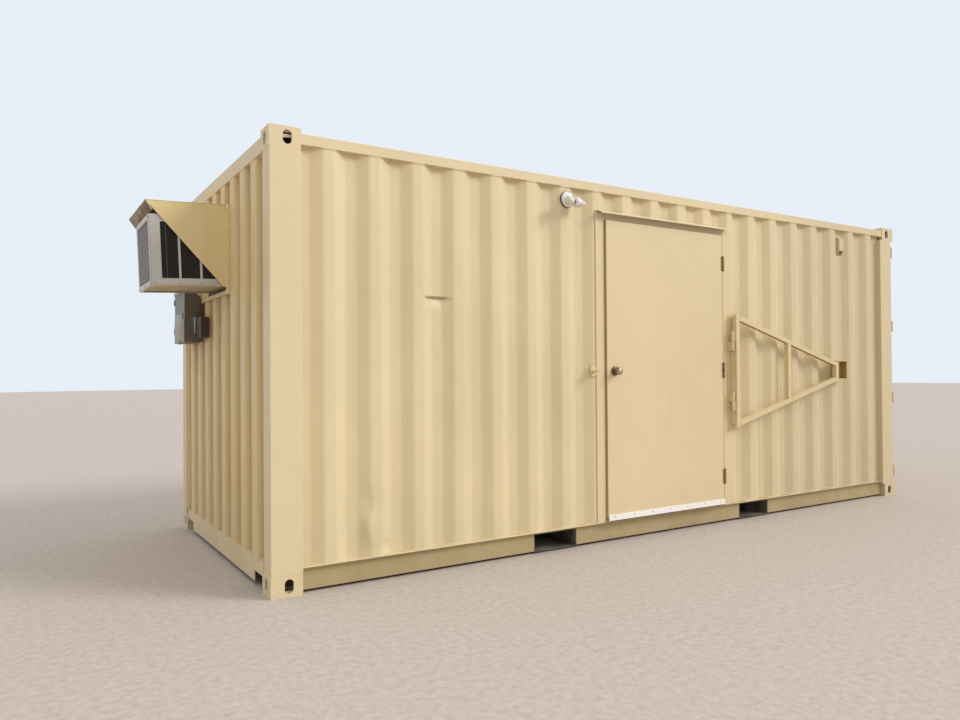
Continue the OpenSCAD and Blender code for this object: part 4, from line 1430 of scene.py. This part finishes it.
@dataclass
class FloodLight(Assembly):
    """A round canopy with two swivelling lamp holders."""

    at: Pair = (-0.984, 2.414)
    necks: Pair = (-0.03, 0.007)
    neck_drop: float = -0.026
    wall: float = -1.211
    knuckle_y: float = -1.277
    down: float = 8.0

    def build(self) -> None:
        """Builds the canopy, its gasket, which also stands for the canopy's shadow on the wall,
        and both lamps.
        """
        x, z = self.at
        # Partly painted shade: the dark gasket is deep and wide enough to show as the canopy's
        # shadow beside it.
        with Piece("Light_gasket_shade", "rubber", "light_white") as bm:
            turned(bm, ((0, 0), (0.057, 0), (0.057, 0.0125), (0, 0.0125)),
                   (x, self.wall - 0.0002, z), OUTWARDS, 64)
        with Piece("Light_canopy", "white", "light_white", stands_for=("light_canopy",),
                   crease=40) as bm:
            turned(bm, ((0, 0.0122), (0.0556, 0.0122), (0.0553, 0.0132), (0.053, 0.0165),
                        (0.046, 0.0225), (0.034, 0.0275), (0.018, 0.0295), (0, 0.03)),
                   (x, self.wall, z), OUTWARDS, 64)
            for shift in self.necks:
                turned(bm, ((0.0108, 0.018), (0.0108, 0.0335), (0.0088, 0.036), (0.008, 0.0385),
                            (0.008, 0.0505), (0.0068, 0.0518), (0, 0.0518)),
                       (x + shift, self.wall, z + self.neck_drop), OUTWARDS, 32)
        screws(Piece("Canopy_screws", "zinc", "light_white"),
               ((x, self.wall - 0.0255, z + dz) for dz in (-0.038, 0.038)), OUTWARDS, 0.0048)
        self.lamp("Left", Body.LEFT_LAMP, self.necks[0], 240)
        self.lamp("Right", Body.RIGHT_LAMP, self.necks[1], -12)

    def lamp(self, side: str, body: Body, shift: float, turn: float) -> None:
        """Builds one lamp holder with its seal and lens.

        Args:
            side: which lamp it is.
            body: the body it rides on.
            shift: how far it stands from the middle of the canopy.
            turn: compass angle of its mouth, in degrees from +X.
        """
        a, b = math.radians(turn), math.radians(self.down)
        out = (math.cos(a) * math.cos(b), math.sin(a) * math.cos(b), -math.sin(b))
        origin = (self.at[0] + shift, self.knuckle_y, self.at[1] + self.neck_drop)
        with Piece(f"{side}_lamp_holder", "white", "light_white", body,
                   (f"lamp_{side.lower()}",), 40) as bm:
            turned(bm, ((0, -0.0099), (0.007, -0.0088), (0.0105, -0.005), (0.0109, 0),
                        (0.0105, 0.004), (0.0088, 0.0075), (0.0088, 0.0125), (0.0275, 0.0135),
                        (0.0318, 0.015), (0.0348, 0.0182), (0.0358, 0.0215), (0.0359, 0.0265),
                        (0.035, 0.03), (0.0336, 0.03), (0.0336, 0.028), (0, 0.028)),
                   origin, out, 56)
        with Piece(f"{side}_lamp_seal", "rubber", "light_white", body, merge=True) as bm:
            turned(bm, ((0.0085, 0.0085), (0.0125, 0.0085), (0.015, 0.0105), (0.015, 0.0132),
                        (0.0085, 0.0132)), origin, out, 48)
        with Piece(f"{side}_lamp_lens", "lens", "light_white", body, crease=60) as bm:
            turned(bm, ((0, 0.0285), (0.0334, 0.0285), (0.034, 0.033), (0.0309, 0.0455),
                        (0.0278, 0.055), (0.0239, 0.064), (0.02, 0.073), (0.016, 0.081),
                        (0.0122, 0.088), (0.0082, 0.093), (0.0042, 0.096), (0, 0.0972)),
                   origin, out, 56)


@dataclass
class PressedVents(Assembly):
    """The two tall hooded vents high on the side walls."""

    lefts: Pair = (2.179, -2.291)
    wide: float = 0.062
    wall: float = -1.175
    front: float = -1.205
    low: Pair = (2.272, 2.319)
    top: float = 2.448

    def build(self) -> None:
        """Dresses the hoods and adds their welds and insect screens."""
        self.dress("wall", "wall_vents", by=0.0011, steps=3)
        vents = [(left, side * (self.wall - 0.0008), side * (self.front + 0.003))
                 for left, side in zip(self.lefts, (1, -1))]
        with Piece("Vent_welds", "wall", "wall_paint", crease=80) as bm:
            for left, y, _ in vents:
                for x in (left, left + self.wide):
                    straight(bm, (x, y, self.low[0] + 0.003), (x, y, self.top), 20, 0.0018)
        with Piece("Vent_screens", "zinc", "wall_paint", crease=60) as bm:
            for left, y0, y1 in vents:
                for x in spread(left + 0.007, left + 0.055, 9):
                    rod(bm, (x, y0, self.low[0] + 0.006), (x, y1, self.low[1] + 0.003), 0.0005, 5)


# The studio


@dataclass
class Studio(Assembly):
    """Floor, lamps and the camera of the photograph."""

    focal_px: float = 763.84
    size_px: Pair = (960.0, 720.0)
    middle_px: Pair = (509.93, 363.73)
    sensor: float = 36.0
    eye: Triple = (-4.2203, -5.3934, 1.2291)
    yaw: float = 0.5826
    pitch: float = 0.01
    roll: float = -0.0075
    sun_energy: float = 1.6
    sun_angle: float = 23.0
    sun_colour: Triple = (1.0, 0.975, 0.93)
    sun_from: Triple = (0.92, -0.87, 0.8)
    sky: Pair = (0.41, 0.96)
    sky_colour: Triple = (1.0, 0.985, 0.95)
    shown_colour: Triple = (0.8, 0.86, 0.93)
    ground: tuple[Triple, Triple] = ((203, 193, 186), (183, 172, 165))
    ground_size: float = 60.0

    def build(self) -> None:
        """Builds the stage."""
        self.floor()
        self.lights()
        self.camera()

    def floor(self) -> None:
        """Adds the pale floor."""
        bm = bmesh.new()
        bmesh.ops.create_grid(bm, x_segments=1, y_segments=1, size=self.ground_size)
        mesh = bpy.data.meshes.new("Floor")
        bm.to_mesh(mesh)
        bm.free()
        g = Graph("Floor_pale", 0.9)
        speck = g.patches((26, 26, 26), 6, 0.3, 0.75, rough=0.7)
        mesh.materials.append(g.done(g.mix(speck, *map(linear, self.ground))))
        floor = bpy.data.objects.new("Floor", mesh)
        bpy.context.scene.collection.objects.link(floor)

    def lights(self) -> None:
        """Adds the sun and the soft sky."""
        sun = bpy.data.lights.new("Sun", "SUN")
        sun.energy, sun.angle = self.sun_energy, math.radians(self.sun_angle)
        sun.color = self.sun_colour
        lamp = bpy.data.objects.new("Sun", sun)
        lamp.rotation_mode = "QUATERNION"
        lamp.rotation_quaternion = Vector(self.sun_from).to_track_quat("Z", "Y")
        bpy.context.scene.collection.objects.link(lamp)
        world = bpy.data.worlds.new("Sky")
        bpy.context.scene.world = world
        t = Tree(world)
        up = t.part(t.add("ShaderNodeTexCoord").outputs["Generated"], "Z")
        level = t.add("ShaderNodeMapRange", {"Value": up, "From Min": 0.0, "From Max": 0.8,
                                             "To Min": self.sky[0], "To Max": self.sky[1]})
        sky = t.add("ShaderNodeBackground", {"Color": (*self.sky_colour, 1.0),
                                             "Strength": level.outputs[0]})
        shown = t.add("ShaderNodeBackground", {"Color": (*self.shown_colour, 1.0)})
        rays = t.add("ShaderNodeLightPath").outputs
        seen = rays["Is Camera Ray"]
        for kind in ("Is Glossy Ray", "Is Transmission Ray"):
            seen = t.join(seen, rays[kind], "MAXIMUM")
        mix = t.add("ShaderNodeMixShader", {0: seen, 1: sky.outputs[0], 2: shown.outputs[0]})
        t.add("ShaderNodeOutputWorld", {0: mix.outputs[0]})

    def camera(self) -> None:
        """Places the camera that took the photograph."""
        cos_p = math.cos(self.pitch)
        ahead = Vector((cos_p * math.sin(self.yaw), cos_p * math.cos(self.yaw),
                        math.sin(self.pitch)))
        level = Vector((math.cos(self.yaw), -math.sin(self.yaw), 0.0))
        above = level.cross(ahead)
        right = level * math.cos(self.roll) + above * math.sin(self.roll)
        up = above * math.cos(self.roll) - level * math.sin(self.roll)
        lens = bpy.data.cameras.new("Camera")
        lens.sensor_fit, lens.sensor_width = "HORIZONTAL", self.sensor
        wide, high = self.size_px
        lens.lens = self.focal_px / wide * self.sensor
        lens.shift_x = -(self.middle_px[0] - wide / 2) / wide
        lens.shift_y = (self.middle_px[1] - high / 2) / wide
        camera = bpy.data.objects.new("Camera", lens)
        turn = Matrix((right, up, -ahead)).transposed().to_4x4()
        camera.matrix_world = Matrix.Translation(self.eye) @ turn
        bpy.context.scene.collection.objects.link(camera)
        bpy.context.scene.camera = camera


def main() -> None:
    """Builds the cabin's looks, sub-assembly by sub-assembly."""
    logging.basicConfig(level=logging.INFO, format="%(name)s: %(message)s")
    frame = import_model()
    for kind in (Sheets, SteelFrame, CargoEnd, PersonnelDoor, SecurityBar, CoolingUnit,
                 SwitchGear, FloodLight, PressedVents, Studio):
        kind(frame["nodes"]).build()
    bpy.context.scene.view_settings.view_transform = "Standard"


if __name__ == "__main__":
    main()
